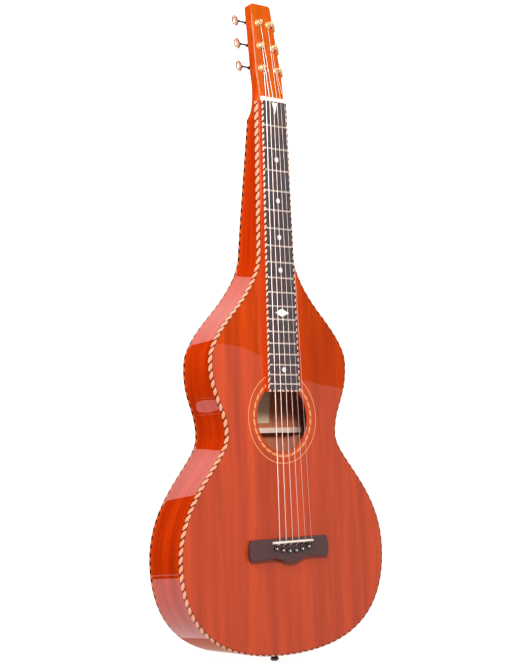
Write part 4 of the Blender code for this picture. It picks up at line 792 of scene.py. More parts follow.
def makeHeadstock():
    h, s = headstock, bodyShape
    ledge = -s["bindingHeight"] - snug
    level = h["rows"][0][0] - h["plateToNut"]
    back = h["corner"] * (1 - np.cos(np.linspace(0, np.pi / 2, 9)))
    places = np.concatenate([h["length"] - back, np.linspace(h["rows"][-1][0], level, 16),
                             np.linspace(h["flare"], h["lastSection"], 12)])
    inFromTip = np.clip(h["corner"] - (h["length"] - places), 0, h["corner"])
    narrower = h["corner"] - np.sqrt(np.maximum(h["corner"] ** 2 - inFromTip ** 2, 0))
    half = headHalfWidth(places) - narrower
    flare = np.clip(1 - places / h["flare"], 0, 1) ** 1.6
    lowHalf = half + (s["neckHalfWidth"] - half) * flare
    thick = h["thickness"] + (h["thicknessAtNut"] - h["thickness"]) * np.clip(
        1 - places / level, 0, 1)
    rings = []
    for place, wide, low, deep in zip(places, half, lowHalf, thick):
        section = heelSection(low, -deep * 0.55, wide, 0.0, -deep)
        rings.append(headPoint(section[:, 0], place, section[:, 1]))

    def under(v):
        # The heel sweeps from the headstock's back down to the neck's
        low, high = bodyDepthAt(s["heelEnd"]), h["thicknessAtNut"] - h["rise"]
        return -(high + (low - high) * max(0.0, v / s["heelEnd"]) ** 2.2)

    section = heelSection(s["neckHalfWidth"], ledge, h["atNut"], h["rise"], under(0))
    rings.append(toWorld(section[:, 0], 0.0, section[:, 1]))
    slope = (s["neckRoot"][0] - s["neckHalfWidth"]) / s["neckRoot"][1]
    core = s["neckHalfWidth"] - s["bindingWidth"] - fit
    inside = -s["boardThickness"] - snug
    for v in np.linspace(0, s["heelEnd"], 14):
        section = heelSection(s["neckHalfWidth"] + slope * v, ledge, core, inside, under(v))
        # Above the ledge it is narrower, to sit between the bindings
        inner = np.array([(core, ledge), (core, inside)])
        section[6:8], section[8:10] = inner, inner[::-1] * (-1, 1)
        rings.append(toWorld(section[:, 0], v, section[:, 1]))
    # The block that fills the hollow neck's end
    for v in (s["heelEnd"], h["heelBlockEnd"]):
        wide = s["neckHalfWidth"] + slope * v - s["bindingWidth"] - 2 * fit
        low = s["backThickness"] + fit - float(bodyDepthAt(v))
        section = heelSection(wide, ledge, wide, inside, low)
        rings.append(toWorld(section[:, 0], v, section[:, 1]))
    piece = sweep("headstockWood", rings, headWood, sharp=32)
    bore = turnedRings([(h["sleeve"] + snug, reach) for reach in h["boreReach"]], 32)
    cutOut(piece, [sweep("bore", onPost(bore, side, row), headWood)
                   for side in (-1, 1) for row in range(len(h["rows"]))])
    # The face is a paler veneer than the neck's own wood
    piece.data.materials.clear()
    for wood in (neckWood, headWood):
        piece.data.materials.append(wood)
    paint(piece, lambda normals: normals @ headUp > 0.6)
    return belongs(piece, "guitar", ["headstock"])


def makeFerrules():
    # Pressed bushing: a thin sleeve with a domed collar, round each post
    h = headstock
    sleeve, collar, bore = h["sleeve"], h["ferruleRadius"], h["ferruleBore"]
    high, low, seat = h["ferruleHeight"], -h["sleeveLength"], snug / 2
    profile = [(sleeve, low), (sleeve, seat), (collar, seat)]
    profile += [(collar - inwards, high * share) for inwards, share in h["ferruleRound"]]
    profile += [(bore + fit, high), (bore, high * 0.7), (bore, low)]
    for name, side in (("bass", -1), ("treble", 1)):
        for row in range(3):
            rings = onPost(turnedRings(profile, 40), side, row)
            belongs(sweep(f"ferrule_{name}_{row + 1}", rings, gold, closed=True, sharp=40),
                    "guitar")


makeHeadstock()
makeFerrules()
print("Headstock made")


# Tuning machines

machine = {
    "postRadius": 0.0026, "postHeight": 0.0100, "holeHeight": 0.0078, "hub": 0.0011,
    "teeth": 14, "wheelRadius": 0.00434, "wormRadius": 0.00206, "toothHeight": 0.00045,
    "toothRoot": 0.00072, "play": 0.00036, "pressure": 20, "wheelThickness": 0.0034,
    "wormTurns": 2.6, "shaftRadius": 0.0013, "plateThickness": 0.0011, "lugThickness": 0.0016,
    "plateMargin": 0.0004, "buttonHalf": (0.0052, 0.0085, 0.0031), "buttonReach": 0.0162,
    "screwRadius": 0.0016, "screwHeight": 0.0007, "screwSlot": 0.0005,
    # The screw's dome as shares of its radius and height
    "screwDome": ((1.0, 0.0), (1.0, 0.35), (0.86, 0.75), (0.6, 0.95), (0.25, 1.0)),
    "screwPlaces": {"nut": -0.0090, "tip": 0.0108},  # along the plate from the post
    "edge": 0.0002, "plateEdge": 0.00018,
}
stringSizes = (0.00132, 0.00107, 0.00081, 0.00061, 0.00043, 0.00033)  # bass to treble
lead = 2 * math.pi * machine["wheelRadius"] / machine["teeth"]
wormOffset = machine["wheelRadius"] + machine["wormRadius"]
plateUnder = -headstock["thickness"] - fit - machine["plateThickness"]
wormDepth = plateUnder - fit - max(machine["wormRadius"] + machine["toothHeight"],
                                   machine["wheelThickness"] / 2)
lugRoom = (machine["wormTurns"] + 1) * lead / 2 + fit
toothTan = math.tan(math.radians(machine["pressure"]))


def wheelRings():
    # Each tooth is root, tip, tip, root; the whole ring turns a little from one face to the other
    m = machine
    tip, root = m["wheelRadius"] + m["toothHeight"], m["wheelRadius"] - m["toothRoot"]
    pitchHalf = lead / 4 - m["play"] / 2
    tipHalf = (pitchHalf - m["toothHeight"] * toothTan) / tip
    rootHalf = (pitchHalf + m["toothRoot"] * toothTan) / root
    leadTurn = m["wheelThickness"] * lead / (2 * math.pi * m["wormRadius"]) / m["wheelRadius"]
    share = np.array([-0.5, -0.44, 0.44, 0.5])[:, None, None]
    tooth = np.arange(m["teeth"])[None, :, None]
    offsets = np.array([-rootHalf, -tipHalf, tipHalf, rootHalf])
    radii = np.array([root, tip, tip, root]) - np.where(np.abs(share) > 0.45, m["edge"] / 2, 0)
    a = math.pi / 2 + (tooth + 0.5) * 2 * math.pi / m["teeth"] + leadTurn * share + offsets
    radii, height = np.broadcast_arrays(radii, wormDepth + share * m["wheelThickness"] + 0 * a)
    radii = radii + 0 * a
    rings = np.stack([radii * np.cos(a), radii * np.sin(a), height], -1)
    return rings.reshape(4, -1, 3)


def threadRings():
    # A trapezium carried along a helix about the x axis
    m = machine
    turns = np.linspace(-0.5, 0.5, int(m["wormTurns"] * 28) + 1) * m["wormTurns"] * 2 * np.pi
    crest, root = m["wormRadius"] + m["toothHeight"], m["shaftRadius"] * 0.8
    pitchHalf = lead / 4 - m["play"] / 2
    crestHalf = pitchHalf - m["toothHeight"] * toothTan
    rootHalf = pitchHalf + (m["wormRadius"] - root) * toothTan
    shift = np.array([-rootHalf, -crestHalf, crestHalf, rootHalf])
    radius = np.array([root, crest, crest, root])
    x = lead * turns[:, None] / (2 * np.pi) + shift
    return np.stack([x, -np.cos(turns)[:, None] * radius, np.sin(turns)[:, None] * radius], -1)


def alongX(rings, side):
    # A shape turned about z is laid along x, outwards
    return np.stack([side * rings[..., 2], rings[..., 0], rings[..., 1]], -1)


def screwHead(name, place, side, row, slotAcross):
    # A domed, slotted head under the plate; its slot is two half domes drawn apart
    m = machine
    radius, levels = m["screwRadius"], np.array(m["screwDome"])
    a = np.linspace(0, np.pi, 13)
    for half, letter in ((-1, "a"), (1, "b")):
        x = radius * levels[:, :1] * np.cos(a)
        y = half * np.maximum(radius * levels[:, :1] * np.sin(a), m["screwSlot"] / 2)
        z = -(m["screwHeight"] * levels[:, 1:] + 0 * a)
        rings = np.stack([y, x, z] if slotAcross else [x, y, z], -1) + place
        made = sweep(f"{name}_{letter}", onPost(rings, side, row), plateGold)
        belongs(made, "guitar")


def makeMachine(label, side, row, string):
    m, h = machine, headstock
    post, button = f"post_{label}", f"button_{label}"
    radius, top = m["postRadius"], m["postHeight"]
    hub, hubEnd = radius * 0.85, wormDepth - m["wheelThickness"] / 2 - m["hub"]
    collar = m["wheelRadius"] - m["toothRoot"] - fit
    profile = [(0, hubEnd), (hub * 0.7, hubEnd), (hub * 0.95, hubEnd + m["edge"]),
               (hub, hubEnd + m["hub"] * 0.5), (hub, wormDepth), (collar, wormDepth),
               (collar, plateUnder - fit), (radius, plateUnder - fit), (radius, top * 0.45),
               (radius * 0.9, top * 0.58), (radius * 0.88, top * 0.75),
               (radius * 0.93, top * 0.86), (radius, top * 0.91), (radius * 0.96, top * 0.96),
               (radius * 0.8, top * 0.99), (radius * 0.5, top), (0, top)]
    shaft = sweep(f"postShaft_{label}", onPost(turnedRings(profile, 36), side, row), gold)
    bore = stringSizes[string] / 2 + fit * 0.7
    hole = turnedRings([(bore, -top), (bore, top)], 20)
    hole = np.stack([hole[..., 0], hole[..., 2], hole[..., 1] + m["holeHeight"]], -1)
    cutOut(shaft, [sweep("stringHole", onPost(hole, side, row), gold)])
    belongs(shaft, post, [f"tuner_post_{label}"])
    wheel = onPost(wheelRings() * (side, 1, 1), side, row)
    belongs(sweep(f"wheel_{label}", wheel, gold, sharp=25), post)

    edge = float(headHalfWidth(h["rows"][row][0] + wormOffset)) - h["rows"][row][1]
    middle = edge + m["buttonReach"]
    long, wide, thick = m["buttonHalf"]
    rod, start = m["shaftRadius"], -lugRoom - m["lugThickness"] - m["plateMargin"]
    profile = [(0, start - m["edge"]), (rod * 0.6, start - m["edge"]), (rod, start),
               (rod, middle - long * 1.5), (rod * 1.5, middle - long * 1.42),
               (rod * 1.75, middle - long * 1.3), (rod * 1.5, middle - long * 1.18),
               (rod * 1.2, middle - long * 1.05), (rod * 1.3, middle - long * 0.8),
               (rod * 1.3, middle - long * 0.1), (0, middle - long * 0.1)]
    place = np.array([0, wormOffset, wormDepth])
    rod3d = alongX(turnedRings(profile, 28), side) + place
    stem = sweep(f"buttonShaft_{label}", onPost(rod3d, side, row), steelDark, sharp=40)
    belongs(stem, button, [f"tuner_button_{label}"])
    thread = threadRings() * (side, 1, 1) + place
    belongs(sweep(f"worm_{label}", onPost(thread, side, row), plateGold, sharp=30), button)
    # The grip is an oval pad: radius sin(polar)^0.8, pinched a little towards its neck
    polar = np.linspace(0, np.pi, 25)[:, None]
    around = np.arange(32) * 2 * np.pi / 32
    bulge = np.sin(polar) ** 0.8
    edgeWise = np.sign(np.sin(around)) * np.abs(np.sin(around)) ** 0.85
    rings = np.stack([side * (middle - long * np.cos(polar)) + 0 * around,
                      wide * bulge * np.cos(around), thick * bulge * edgeWise], -1) + place
    # The grips' rose tint is a painted reflection of the red body
    grip = sweep(f"buttonGrip_{label}", onPost(rings, side, row), reflectionTintedGold, sharp=60)
    belongs(grip, button)


def makePlate(label, side, row):
    # The model's own plate, merged and given a fine machined edge, and its two screws
    m, node = machine, f"tuner_plate_{label}"
    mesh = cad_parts[node].data.copy()
    shape = bmesh.new()
    shape.from_mesh(mesh)
    bmesh.ops.remove_doubles(shape, verts=shape.verts, dist=1e-6)
    bmesh.ops.dissolve_limit(shape, angle_limit=math.radians(1), verts=shape.verts,
                             edges=shape.edges)
    shape.to_mesh(mesh)
    shape.free()
    piece = finishPiece(f"machinePlate_{label}", mesh, plateGold)
    mesh.name = piece.name
    edge = piece.modifiers.new("edge", "BEVEL")
    edge.width, edge.segments, edge.limit_method = m["plateEdge"], 2, "ANGLE"
    edge.angle_limit = math.radians(40)
    belongs(piece, "guitar", [node])
    for end, along in m["screwPlaces"].items():
        screwHead(f"plateScrew_{end}_{label}", np.array([0, along, plateUnder]), side, row,
                  slotAcross=end == "nut")


for sideName, sideSign in (("bass", -1), ("treble", 1)):
    for rowIndex in range(3):
        tag = f"{sideName}_{rowIndex + 1}"
        makeMachine(tag, sideSign, rowIndex, rowIndex if sideSign < 0 else 5 - rowIndex)
        makePlate(tag, sideSign, rowIndex)
print("Tuning machines made")


# Nut, bridge, saddle and pins

nutShape = {
    "length": 0.0060, "height": 0.0091, "fall": 0.0018, "spread": 0.037, "clear": 0.00005,
    "notch": 0.0008, "notchSlope": 0.00012, "endEdge": 0.0003,
    "rounds": (0.0004, 0.0006),  # at the fretboard and at the headstock
    "crown": 0.0001,
}
bridgeShape = {
    "front": scaleLength - 0.0055, "back": scaleLength + 0.0240, "point": scaleLength + 0.0295,
    "hollow": 0.0028, "halfLength": 0.0735, "bulge": 0.0040, "bumpHalfWidth": 0.0300,
    "frontCorner": 0.0020, "straight": 0.0700,
    "height": 0.0090, "wing": 0.0060, "deck": 0.0430, "edge": 0.0008, "cutReach": 0.02,
    "saddleHalf": 0.0362, "saddleWidth": 0.0030, "saddleHeight": 0.0175, "saddleEdge": 0.0004,
    "slotDepth": 0.0045, "spread": 0.0622, "pinRow": 0.0085, "pinBow": 0.0042,
    "shank": 0.0023, "pinLength": 0.0180, "pinTip": 0.0006, "pinNeck": 0.0010,
    "head": 0.0034, "headHeight": 0.0042,
    # The head's underside and belly: share of its radius, height above the bridge
    "headBelly": ((0.72, 0.0001), (0.94, 0.0005), (1, 0.0013), (0.98, 0.0019)),
    "plateThickness": 0.0025, "ball": 0.0019, "pinDot": 0.0013, "behindDot": 0.0013,
    "behindDotBack": 0.0205, "dotDepth": 0.0010,
}


def stringLines(spread):
    return (np.arange(6) / 5 - 0.5) * spread


def nutFloor(v):
    n = nutShape
    return n["height"] - n["notch"] + v * n["fall"] / n["length"]


def makeNut():
    # Sections across the nut, dipping by the notch depth where a string lies
    n = nutShape
    lines, half = stringLines(n["spread"]), fretboard["atNut"]
    slope, edge = n["notchSlope"], n["endEdge"]
    room = np.array(stringSizes) / 2 + fit
    dips = np.concatenate([lines - room - slope, lines - room, lines, lines + room,
                           lines + room + slope])
    x = np.sort(np.concatenate([dips, [-half, -half + edge, half - edge, half],
                                np.linspace(-half, half, 12)[1:-1]]))
    inNotch = (np.abs(x[:, None] - lines) < room + slope / 2).any(1)
    drop = np.where(inNotch, n["notch"], 0.0)
    drop = np.where(np.abs(x) > half - edge / 2, edge, drop)
    near, far = -n["clear"], -fit - n["length"]
    nearRound, farRound = n["rounds"]
    ends = np.array([near, near, near - nearRound, (near + far) / 2, far + farRound, far, far])
    topLine = nutFloor(ends) + n["notch"] - (0, nearRound, 0, -n["crown"], 0, farRound, 0)
    seated = np.array([True, False, False, False, False, False, True])
    seat = headPoint(0, -ends, 0)[:, 2] - topZ + snug
    z = np.where(seated, seat, topLine)
    rings = toWorld(x[:, None], ends, z - ~seated * drop[:, None])
    return belongs(sweep("nutBone", rings, bone, sharp=40), "guitar", ["nut"])


def bridgeEdges():
    # The bridge seen from above, as its front and back v at any x
    b = bridgeShape
    corner = (b["halfLength"], b["back"])
    front = (b["halfLength"] - b["frontCorner"], b["front"])
    bow, third = b["halfLength"] + b["bulge"], (b["back"] - b["front"]) / 3
    foot = (b["bumpHalfWidth"], b["back"] - b["hollow"] * 0.7)
    wingRun = (b["halfLength"] - b["bumpHalfWidth"]) * 0.4
    end = bezier(front, (bow, front[1] + third), (bow, corner[1] - third), corner, 60)
    wing = bezier(corner, (corner[0] - wingRun, b["back"]),
                  (foot[0] + wingRun, b["back"] - b["hollow"]), foot, 30)
    bump = bezier(foot, (foot[0] * 0.65, b["back"] - b["hollow"] * 0.3),
                  (foot[0] * 0.4, b["point"]), (0, b["point"]), 30)
    widest = int(end[:, 0].argmax())
    frontLine = np.concatenate([[(0, b["front"]), front], end[:widest + 1]])
    backLine = np.concatenate([end[widest:], wing, bump])[::-1]
    return frontLine, backLine


def pinPlaces():
    b = bridgeShape
    x = stringLines(b["spread"])
    return x, scaleLength + b["pinRow"] + b["pinBow"] * (1 - (2 * x / b["spread"]) ** 2)


def stringStand(diameter):
    b = bridgeShape
    return max(b["head"] + diameter / 2, b["shank"] + b["ball"]) + fit


def makeBridge():
    b = bridgeShape
    frontLine, backLine = bridgeEdges()
    tip, straight = frontLine[-1, 0], b["straight"]
    half = np.concatenate([np.linspace(0, b["deck"], 12), np.linspace(b["deck"], straight, 10)[1:],
                           tip - (tip - straight) * (1 - np.linspace(0, 1, 16)[1:]) ** 2])
    x = np.concatenate([-half[::-1], half[1:]])
    front = np.interp(np.abs(x), frontLine[:, 0], frontLine[:, 1])
    back = np.interp(np.abs(x), backLine[:, 0], backLine[:, 1])
    slope = (b["height"] - b["wing"]) / (b["halfLength"] - b["deck"])
    top = b["height"] - slope * np.maximum(0, np.abs(x) - b["deck"])
    bend = np.minimum(b["edge"], (back - front) * 0.3)[:, None]
    arc = arcSteps(180, 90, 5)
    frontArc = np.stack([front[:, None] + bend * (1 + arc[:, 0]),
                         top[:, None] - bend * (1 - arc[:, 1])], -1)
    backArc = np.stack([back[:, None] - bend * (1 + arc[::-1, 0]),
                        top[:, None] - bend * (1 - arc[::-1, 1])], -1)
    middle = front + (back - front) * np.linspace(0, 1, 5)[1:-1, None]
    inner = np.stack([middle.T, top[:, None] + 0 * middle.T], -1)
    feet = [np.stack([v, np.full(len(x), snug)], -1)[:, None] for v in (back, front)]
    rings = np.concatenate([frontArc, inner, backArc] + feet, 1)
    piece = sweep("bridgeBody", toWorld(x[:, None], rings[..., 0], rings[..., 1]), bridgeWood,
                  sharp=35)
    slotFloor, reachUp = b["height"] - b["slotDepth"], b["cutReach"]
    wide, long = b["saddleWidth"] / 2 + snug, b["saddleHalf"] + snug
    corners = np.array([(-long, -wide), (long, -wide), (long, wide), (-long, wide)])
    cutters = [sweep("slotCutter", np.stack([
        toWorld(corners[:, 0], scaleLength + corners[:, 1], z) for z in (slotFloor, reachUp)]),
        bridgeWood)]
    for pinX, pinV, size in zip(*pinPlaces(), stringSizes):
        radius, room = b["shank"] + snug, size / 2 + fit
        reach = stringStand(size) + room
        opening = math.degrees(math.asin(room / radius))
        hole = arcSteps(-90 + opening, 270 - opening, 29) * radius
        hole = np.concatenate([hole, [(-room, -reach), (room, -reach)]]) + (pinX, pinV)
        cutters.append(sweep("pinHole", np.stack([
            toWorld(hole[:, 0], hole[:, 1], z) for z in (-reachUp, reachUp)]), bridgeWood))
    cutOut(piece, cutters)
    return belongs(piece, "guitar", ["bridge"])


def makeSaddle():
    b = bridgeShape
    floor = b["height"] - b["slotDepth"] + snug
    wide, high = b["saddleWidth"] / 2, b["saddleHeight"]
    # A round crown, given as shares of the half width: sideways, and down from the top
    crown = np.array([(-1, 1), (-0.86, 0.62), (-0.6, 0.35), (-0.3, 0.12), (0, 0)])
    crown = np.concatenate([crown, crown[-2::-1] * (-1, 1)])
    crown[:, 1] = high - wide * crown[:, 1]
    section = np.concatenate([[(-1, floor)], crown, [(1, floor)]])
    long, edge = b["saddleHalf"], b["saddleEdge"]
    x = np.array([-long, -long + edge, -long / 2, 0, long / 2, long - edge, long])
    soft = np.array([edge, 0, 0, 0, 0, 0, edge])[:, None]
    z = np.where(section[:, 1] > floor + 1e-6, section[:, 1] - soft, section[:, 1] + 0 * soft)
    rings = toWorld(x[:, None], scaleLength + wide * section[:, 0], z)
    return belongs(sweep("saddleBone", rings, bone, sharp=40), "guitar", ["saddle"])


def makePins():
    b = bridgeShape
    head, high, length, shank = b["head"], b["headHeight"], b["pinLength"], b["shank"]
    profile = [(0, -length), (shank * 0.6, -length), (shank * 0.8, -length + b["pinTip"]),
               (shank, -b["pinNeck"]), (shank, b["headBelly"][0][1])]
    profile += [(head * share, height) for share, height in b["headBelly"]]
    profile += [(head * 0.92, high * 0.6), (head * 0.78, high * 0.8), (head * 0.55, high * 0.93),
                (b["pinDot"], high * 0.985), (b["pinDot"], high * 0.7), (0, high * 0.7)]
    dotRadius = b["pinDot"] - flush
    dot = [(0, high * 0.72), (dotRadius, high * 0.72), (dotRadius, high * 0.99),
           (b["pinDot"] * 0.6, high), (0, high)]
    for i, (x, v) in enumerate(zip(*pinPlaces())):
        place = toWorld(x, v, b["height"])
        pin = sweep(f"pin_{6 - i}", turnedRings(profile, 32) + place, horn, sharp=40)
        belongs(pin, "guitar", [f"bridge_pin_{6 - i}"])
        belongs(sweep(f"pinDot_{6 - i}", turnedRings(dot, 24) + place, pearl, sharp=40), "guitar")


def makeBridgeDot():
    # A flat horn dot let into the bridge behind the pins
    b = bridgeShape
    high, radius = b["height"], b["behindDot"]
    low = high - b["dotDepth"]
    profile = [(0, low), (radius, low), (radius, high + flush), (0, high + snug)]
    rings = turnedRings(profile, 24) + toWorld(0, scaleLength + b["behindDotBack"], 0)
    belongs(sweep("bridgeDot", rings, horn, sharp=40), "guitar")


endPin = {
    "height": 0.0110, "radius": 0.0062, "shank": 0.0040, "length": 0.0240,
    # The turned button, from its crown to its foot: shares of its radius and height
    "profile": ((0, 1), (0.4, 0.995), (0.7, 0.965), (0.9, 0.87), (1, 0.74), (0.95, 0.6),
                (0.8, 0.45), (0.72, 0.36), (0.74, 0.24), (0.86, 0.12), (1, 0.05)),
}


def makeEndPin():
    # A turned button at the tail, on the middle of the sides' depth
    e = endPin
    shank, low = e["shank"], -e["length"]
    profile = np.concatenate([np.array(e["profile"]) * (e["radius"], e["height"]), [
        (e["radius"], flush), (shank, flush), (shank * 0.9, low), (0, low)]])
    rings = turnedRings(profile, 40)
    rings = toWorld(rings[..., 0], bodyShape["tail"][1] + rings[..., 2],
                    rings[..., 1] - bodyShape["bodyDepth"] / 2)
    belongs(sweep("endPinButton", rings, horn, sharp=40), "guitar", ["end_pin"])


makeNut()
makeBridge()
makeSaddle()
makePins()
makeBridgeDot()
makeEndPin()
print("Nut, bridge, saddle and pins made")


# Strings

stringShape = {
    "lowTurn": 0.0027, "turns": 2, "pitch": 0.0018, "turnSteps": 40, "tail": 0.0022, "sides": 10,
    # Where on the post a winding would start to turn with it, where it would wholly, and how far
    # the line between the two leans; the strings don't use them
    "blendFrom": 0.0038, "blendTo": 0.0064, "blendLean": 0.3,
    # From the ball to where the string leaves it: drop and thickness, both in ball radii
    "ball": ((1.8, 0.55), (1.62, 0.87), (1.4, 1), (1.15, 1), (0.9, 0.97), (0.7, 0.8),
             (0.5, 0.55)),
}


def tube(name, points, radii, material, sides):
    # A circle carried along the path; its frame turns with the path and never twists
    points, radii = np.asarray(points, float), np.asarray(radii, float)
    step = np.diff(points, axis=0)
    tangent = np.concatenate([step[:1], step[:-1] + step[1:], step[-1:]])
    tangent /= np.linalg.norm(tangent, axis=1)[:, None]
    normal = np.cross(tangent[0], (0.3, 0.2, 0.9))
    normals = []
    for t in tangent:
        normal = normal - t * (normal @ t)
        normal = normal / np.linalg.norm(normal)
        normals.append(normal)
    normals = np.array(normals)
    side = np.cross(tangent, normals)
    a = np.arange(sides) * 2 * np.pi / sides
    rings = points[:, None] + radii[:, None, None] * (
        normals[:, None] * np.cos(a)[:, None] + side[:, None] * np.sin(a)[:, None])
    around = np.linspace(0, 1, sides + 1)
    return sweep(name, rings, material, distanceAlong(points), around, sharp=60)


def stringRoute(i):
    # From the ball under the bridge plate, over saddle and nut, round the post and through it
    b, s, m, h = bridgeShape, stringShape, machine, headstock
    size = stringSizes[i]
    radius, side = size / 2, -1 if i < 3 else 1
    row = i if i < 3 else 5 - i
    xNut = stringLines(nutShape["spread"])[i]
    xPin, vPin = (places[i] for places in pinPlaces())
    under = -bodyShape["boardThickness"] - fit - b["plateThickness"]
    vRise = vPin - stringStand(size)
    half, stand = b["saddleWidth"] / 2, fit + radius
    drops, swells = np.array(s["ball"]).T
    drops = np.append(drops, (0.3, 0))
    foot = toWorld(xPin, vRise, under - fit - b["ball"] * drops)
    over = toWorld(xPin, np.array([
        vRise, scaleLength + half + stand, scaleLength + half * 0.6 + stand * 0.75, scaleLength]),
        np.array([b["height"], b["saddleHeight"] - half,
                  b["saddleHeight"] - half * 0.35 + stand * 0.75, b["saddleHeight"] + stand]))
    nut = toWorld(xNut, -fit, nutFloor(-fit) + fit + radius)
    reachSteps = np.linspace(0, 1, 8)[1:, None]
    middle = over[-1] + (nut - over[-1]) * reachSteps

    place, off = h["rows"][row]
    coil = m["postRadius"] + fit + radius
    centre = np.array([side * off, place])
    start = np.array([xNut, fit])
    reach = centre - start
    far = np.linalg.norm(reach)
    bearing = math.atan2(reach[1], reach[0]) + side * math.asin(coil / far)
    along = np.array([math.cos(bearing), math.sin(bearing)])
    touch = start + along * math.sqrt(far ** 2 - coil ** 2)
    first = math.atan2(*(touch - centre)[::-1])
    span = (first - math.pi / 2) * side % (2 * math.pi) + 2 * math.pi * s["turns"]
    turned = np.linspace(0, span, int(span / (2 * math.pi) * s["turnSteps"]) + 1)
    climb = m["holeHeight"] - s["lowTurn"] - s["pitch"] * span / (2 * math.pi)
    late = np.clip((turned - (span - math.pi)) / math.pi, 0, 1)
    height = s["lowTurn"] + s["pitch"] * turned / (2 * math.pi)
    height += climb * late ** 2 * (3 - 2 * late)
    a = first - side * turned
    coils = headPoint(centre[0] + coil * np.cos(a), centre[1] + coil * np.sin(a), height)
    tail = headPoint(centre[0], centre[1] + np.array([0.0, -coil - s["tail"]]), m["holeHeight"])
    # Two points up the post, leaning nutwards, where the windings would start and finish turning
    # with it; they are returned, and not used
    rise = np.array([s["blendFrom"], s["blendTo"]])
    rise = headPoint(centre[0], centre[1] + s["blendLean"] * (rise - rise[0]), rise)
    points = np.concatenate([foot, over, middle, coils, tail])
    swell = np.ones(len(points)) * radius
    swell[:len(swells)] = b["ball"] * swells
    return points, swell, rise


for index in range(6):
    points, radii, rise = stringRoute(index)
    material = bronzeWound if index < 4 else plainSteel
    made = tube(f"stringWire_{6 - index}", points, radii, material, stringShape["sides"])
    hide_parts(f"string_{6 - index}")
    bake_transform(made)
print("Strings made")


# Solids inside the body keep the model's own shapes

insideFinish = {
    "back_brace_1": spruceAcross, "back_brace_2": spruceAcross, "back_brace_3": spruceAcross,
    "upper_brace": spruceAcross, "bridge_plate": spruceAcross, "tail_block": innerMahogany,
    "label": paper, "back_lining_bass": paintedShadeWood, "back_lining_treble": paintedShadeWood,
}
for nodeName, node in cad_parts.items():
    if not node.hide_render:
        node.data.materials.clear()
        node.data.materials.append(insideFinish.get(nodeName, spruce))
print("Inside finished")


# Studio: the camera of the photograph, soft lamps, a pale floor and cards that the varnish mirrors

studio = {
    "camera": (-1.5661, -0.5162, 1.6892),  # from the nut, on the soundboard's plane
    "lookAlong": (0.6711, 0.0790, -0.7372), "lookUp": (-0.0268, 0.9962, 0.0823),
    "lens": 87.05, "filmSize": 36.0, "clip": (0.05, 50),
    "ambient": 0.32, "floorDrop": 0.45, "floorLift": 0.62, "floorColour": "F4F4F4",
    "floorRadii": (3, 9), "floorThickness": 0.01,
}
lamps = {  # place, aim, width and watts
    "keyLamp": ((-1.1, 0.75, 1.6), (0, 0.6, 0), 0.5, 42),
    "headLamp": ((-0.94, 0.99, 0.85), (0, 0.05, 0), 0.35, 7),
    "tailLamp": ((-1.2, -1.7, 0.35), (-0.15, -0.45, 0), 0.8, 9),
}
cards = {  # finish, height and corners
    "cardBelow": ("black", -0.40, [(-2.2, 1.6), (0.04, 1.6), (-0.207, 0.455), (-0.257, 0.31),
                                   (-0.283, 0.15), (-0.296, 0.06), (-0.20, -0.46),
                                   (-2.2, -0.46)]),
    # Glows faintly peach, only in the varnish: the painted reflection on the sides towards the
    # tail
    "cardTail": ("grey", -0.40, [(0.02, -0.60), (1.6, -0.60), (1.6, -2.0), (0.02, -2.0)]),
    "cardAbove": ("black", 1.2, [(0.80, 0.75), (0.80, 0.085), (0.842, 0.083), (0.887, 0.079),
                                 (0.928, 0.073), (0.971, 0.059), (1.045, 0.028),
                                 (1.118, -0.001), (1.175, -0.012), (1.255, -0.020),
                                 (1.5, -0.03), (1.5, 0.75)]),
    "cardHead": ("black", 1.2, [(1.18, 2.0), (1.18, 0.97), (1.5, 0.97), (1.5, 2.0)]),
    "stripBelow": ("lit", -0.395, [(-1.0, -0.437), (-0.25, -0.437), (-0.25, -0.431),
                                   (-1.0, -0.431)]),
}
glint = {
    "middle": (-0.373, -0.377), "along": (-0.68, -0.733), "aside": (-0.733, 0.68),
    "disc": (0.026, 0.018), "line": (0.0290, 0.0315), "height": -0.395,
}


def makeCamera():
    s = studio
    film = bpy.data.cameras.new("camera")
    film.sensor_width, film.lens, film.sensor_fit = s["filmSize"], s["lens"], "AUTO"
    film.clip_start, film.clip_end = s["clip"]
    camera = bpy.data.objects.new("camera", film)
    bpy.context.scene.collection.objects.link(camera)
    forward, up = Vector(s["lookAlong"]).normalized(), Vector(s["lookUp"]).normalized()
    right = forward.cross(up).normalized()
    turn = Matrix((right, right.cross(forward), -forward)).transposed()
    place = Vector(s["camera"]) + Vector((0, nutY, topZ))
    camera.matrix_world = Matrix.Translation(place) @ turn.to_4x4()
    bpy.context.scene.camera = camera


def makeLamps():
    for name, (place, aim, size, power) in lamps.items():
        light = bpy.data.lights.new(name, "AREA")
        light.size, light.energy = size, power
        holder = bpy.data.objects.new(name, light)
        bpy.context.scene.collection.objects.link(holder)
        holder.location = place
        holder.rotation_euler = (Vector(aim) - Vector(place)).to_track_quat("-Z", "Y").to_euler()


def seenDirectly(tree):
    # 1 where the camera, a mirror or clear glass looks, 0 where soft light is gathered
    path = addNode(tree, "LightPath")
    seen = addNode(tree, "Math", {
        0: path.outputs["Is Camera Ray"], 1: path.outputs["Is Glossy Ray"]}, operation="MAXIMUM")
    return addNode(tree, "Math", {0: seen, 1: path.outputs["Is Transmission Ray"]},
                   operation="MAXIMUM")


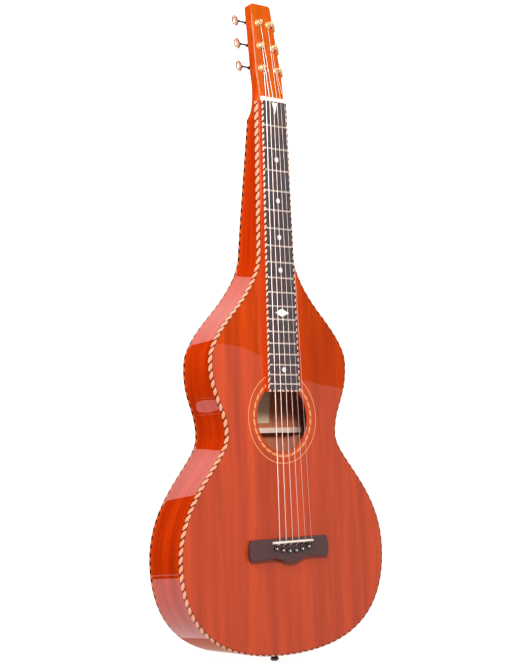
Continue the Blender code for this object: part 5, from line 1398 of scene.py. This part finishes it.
def makeBackdrop():
    # White world and floor for the eye, at a plain level as light
    s = studio
    world = bpy.data.worlds.new("studio")
    bpy.context.scene.world = world
    world.use_nodes = True
    tree = world.node_tree
    tree.nodes.clear()
    soft, white = [addNode(tree, "Background", {"Color": (1, 1, 1, 1), "Strength": strength})
                   for strength in (s["ambient"], 1.0)]
    both = addNode(tree, "MixShader", {"Fac": seenDirectly(tree), 1: soft, 2: white})
    addNode(tree, "OutputWorld", {"Surface": both})

    # Board painted a flat off-white: no shine, only the object's shadow
    material, tree, shader = newMaterial("paleFloor", {
        "Base Color": srgb(s["floorColour"]), "Roughness": 0.9, "Specular IOR Level": 0.0,
        "Emission Color": (1, 1, 1, 1)})
    setInputs(shader, {"Emission Strength": addNode(tree, "Math", {
        0: seenDirectly(tree), 1: s["floorLift"]}, operation="MULTIPLY")})
    (flat, rim), thick = s["floorRadii"], -s["floorThickness"]
    disc = turnedRings([(0, 0), (flat, 0), (rim, 0), (rim, thick), (0, thick)], 64)
    sweep("floor", disc - (0, 0, s["floorDrop"]), material)


def card(name, corners, height, material):
    # A flat panel that only shows in reflections
    points = np.array(corners, float)
    rings = np.stack([np.column_stack([points, np.full(len(points), z)])
                      for z in (height, height + 0.001)])
    panel = sweep(name, rings, material)
    panel.visible_camera = panel.visible_diffuse = panel.visible_shadow = False
    panel.visible_transmission = panel.visible_volume_scatter = False


def makeCards():
    dull = {"Base Color": (0, 0, 0, 1), "Roughness": 1.0, "Specular IOR Level": 0.0}
    finishes = {
        "black": newMaterial("blackFlannel", dull)[0],
        # A panel glowing a faint peach, seen only in the varnish: a painted reflection of soft
        # light
        "grey": newMaterial("greyGlowPanel", {
            **dull, "Emission Color": srgb("FFD8C0"), "Emission Strength": 0.65})[0],
        "lit": newMaterial("litDisc", {
            "Base Color": (0, 0, 0, 1), "Emission Color": (1, 1, 1, 1),
            "Emission Strength": 1.3})[0],
    }
    for name, (finish, height, corners) in cards.items():
        card(name, corners, height, finishes[finish])
    # The waist mirrors one place twice over, folded along a line: the disc lies on the fold, and
    # the thin strip beside it shows as a line on either side
    g = glint
    axes = np.array([g["along"], g["aside"]])
    circle = arcSteps(0, 360, 33)[:-1] * g["disc"]
    (long, near, far) = (g["disc"][0], *g["line"])
    strip = np.array([(-long, near), (long, near), (long, far), (-long, far)])
    for name, corners in (("discBelow", circle), ("lineBelow", strip)):
        card(name, g["middle"] + corners @ axes, g["height"], finishes["lit"])


makeCards()
makeCamera()
makeLamps()
makeBackdrop()
bpy.context.scene.view_settings.view_transform = "Standard"
print("Studio made")
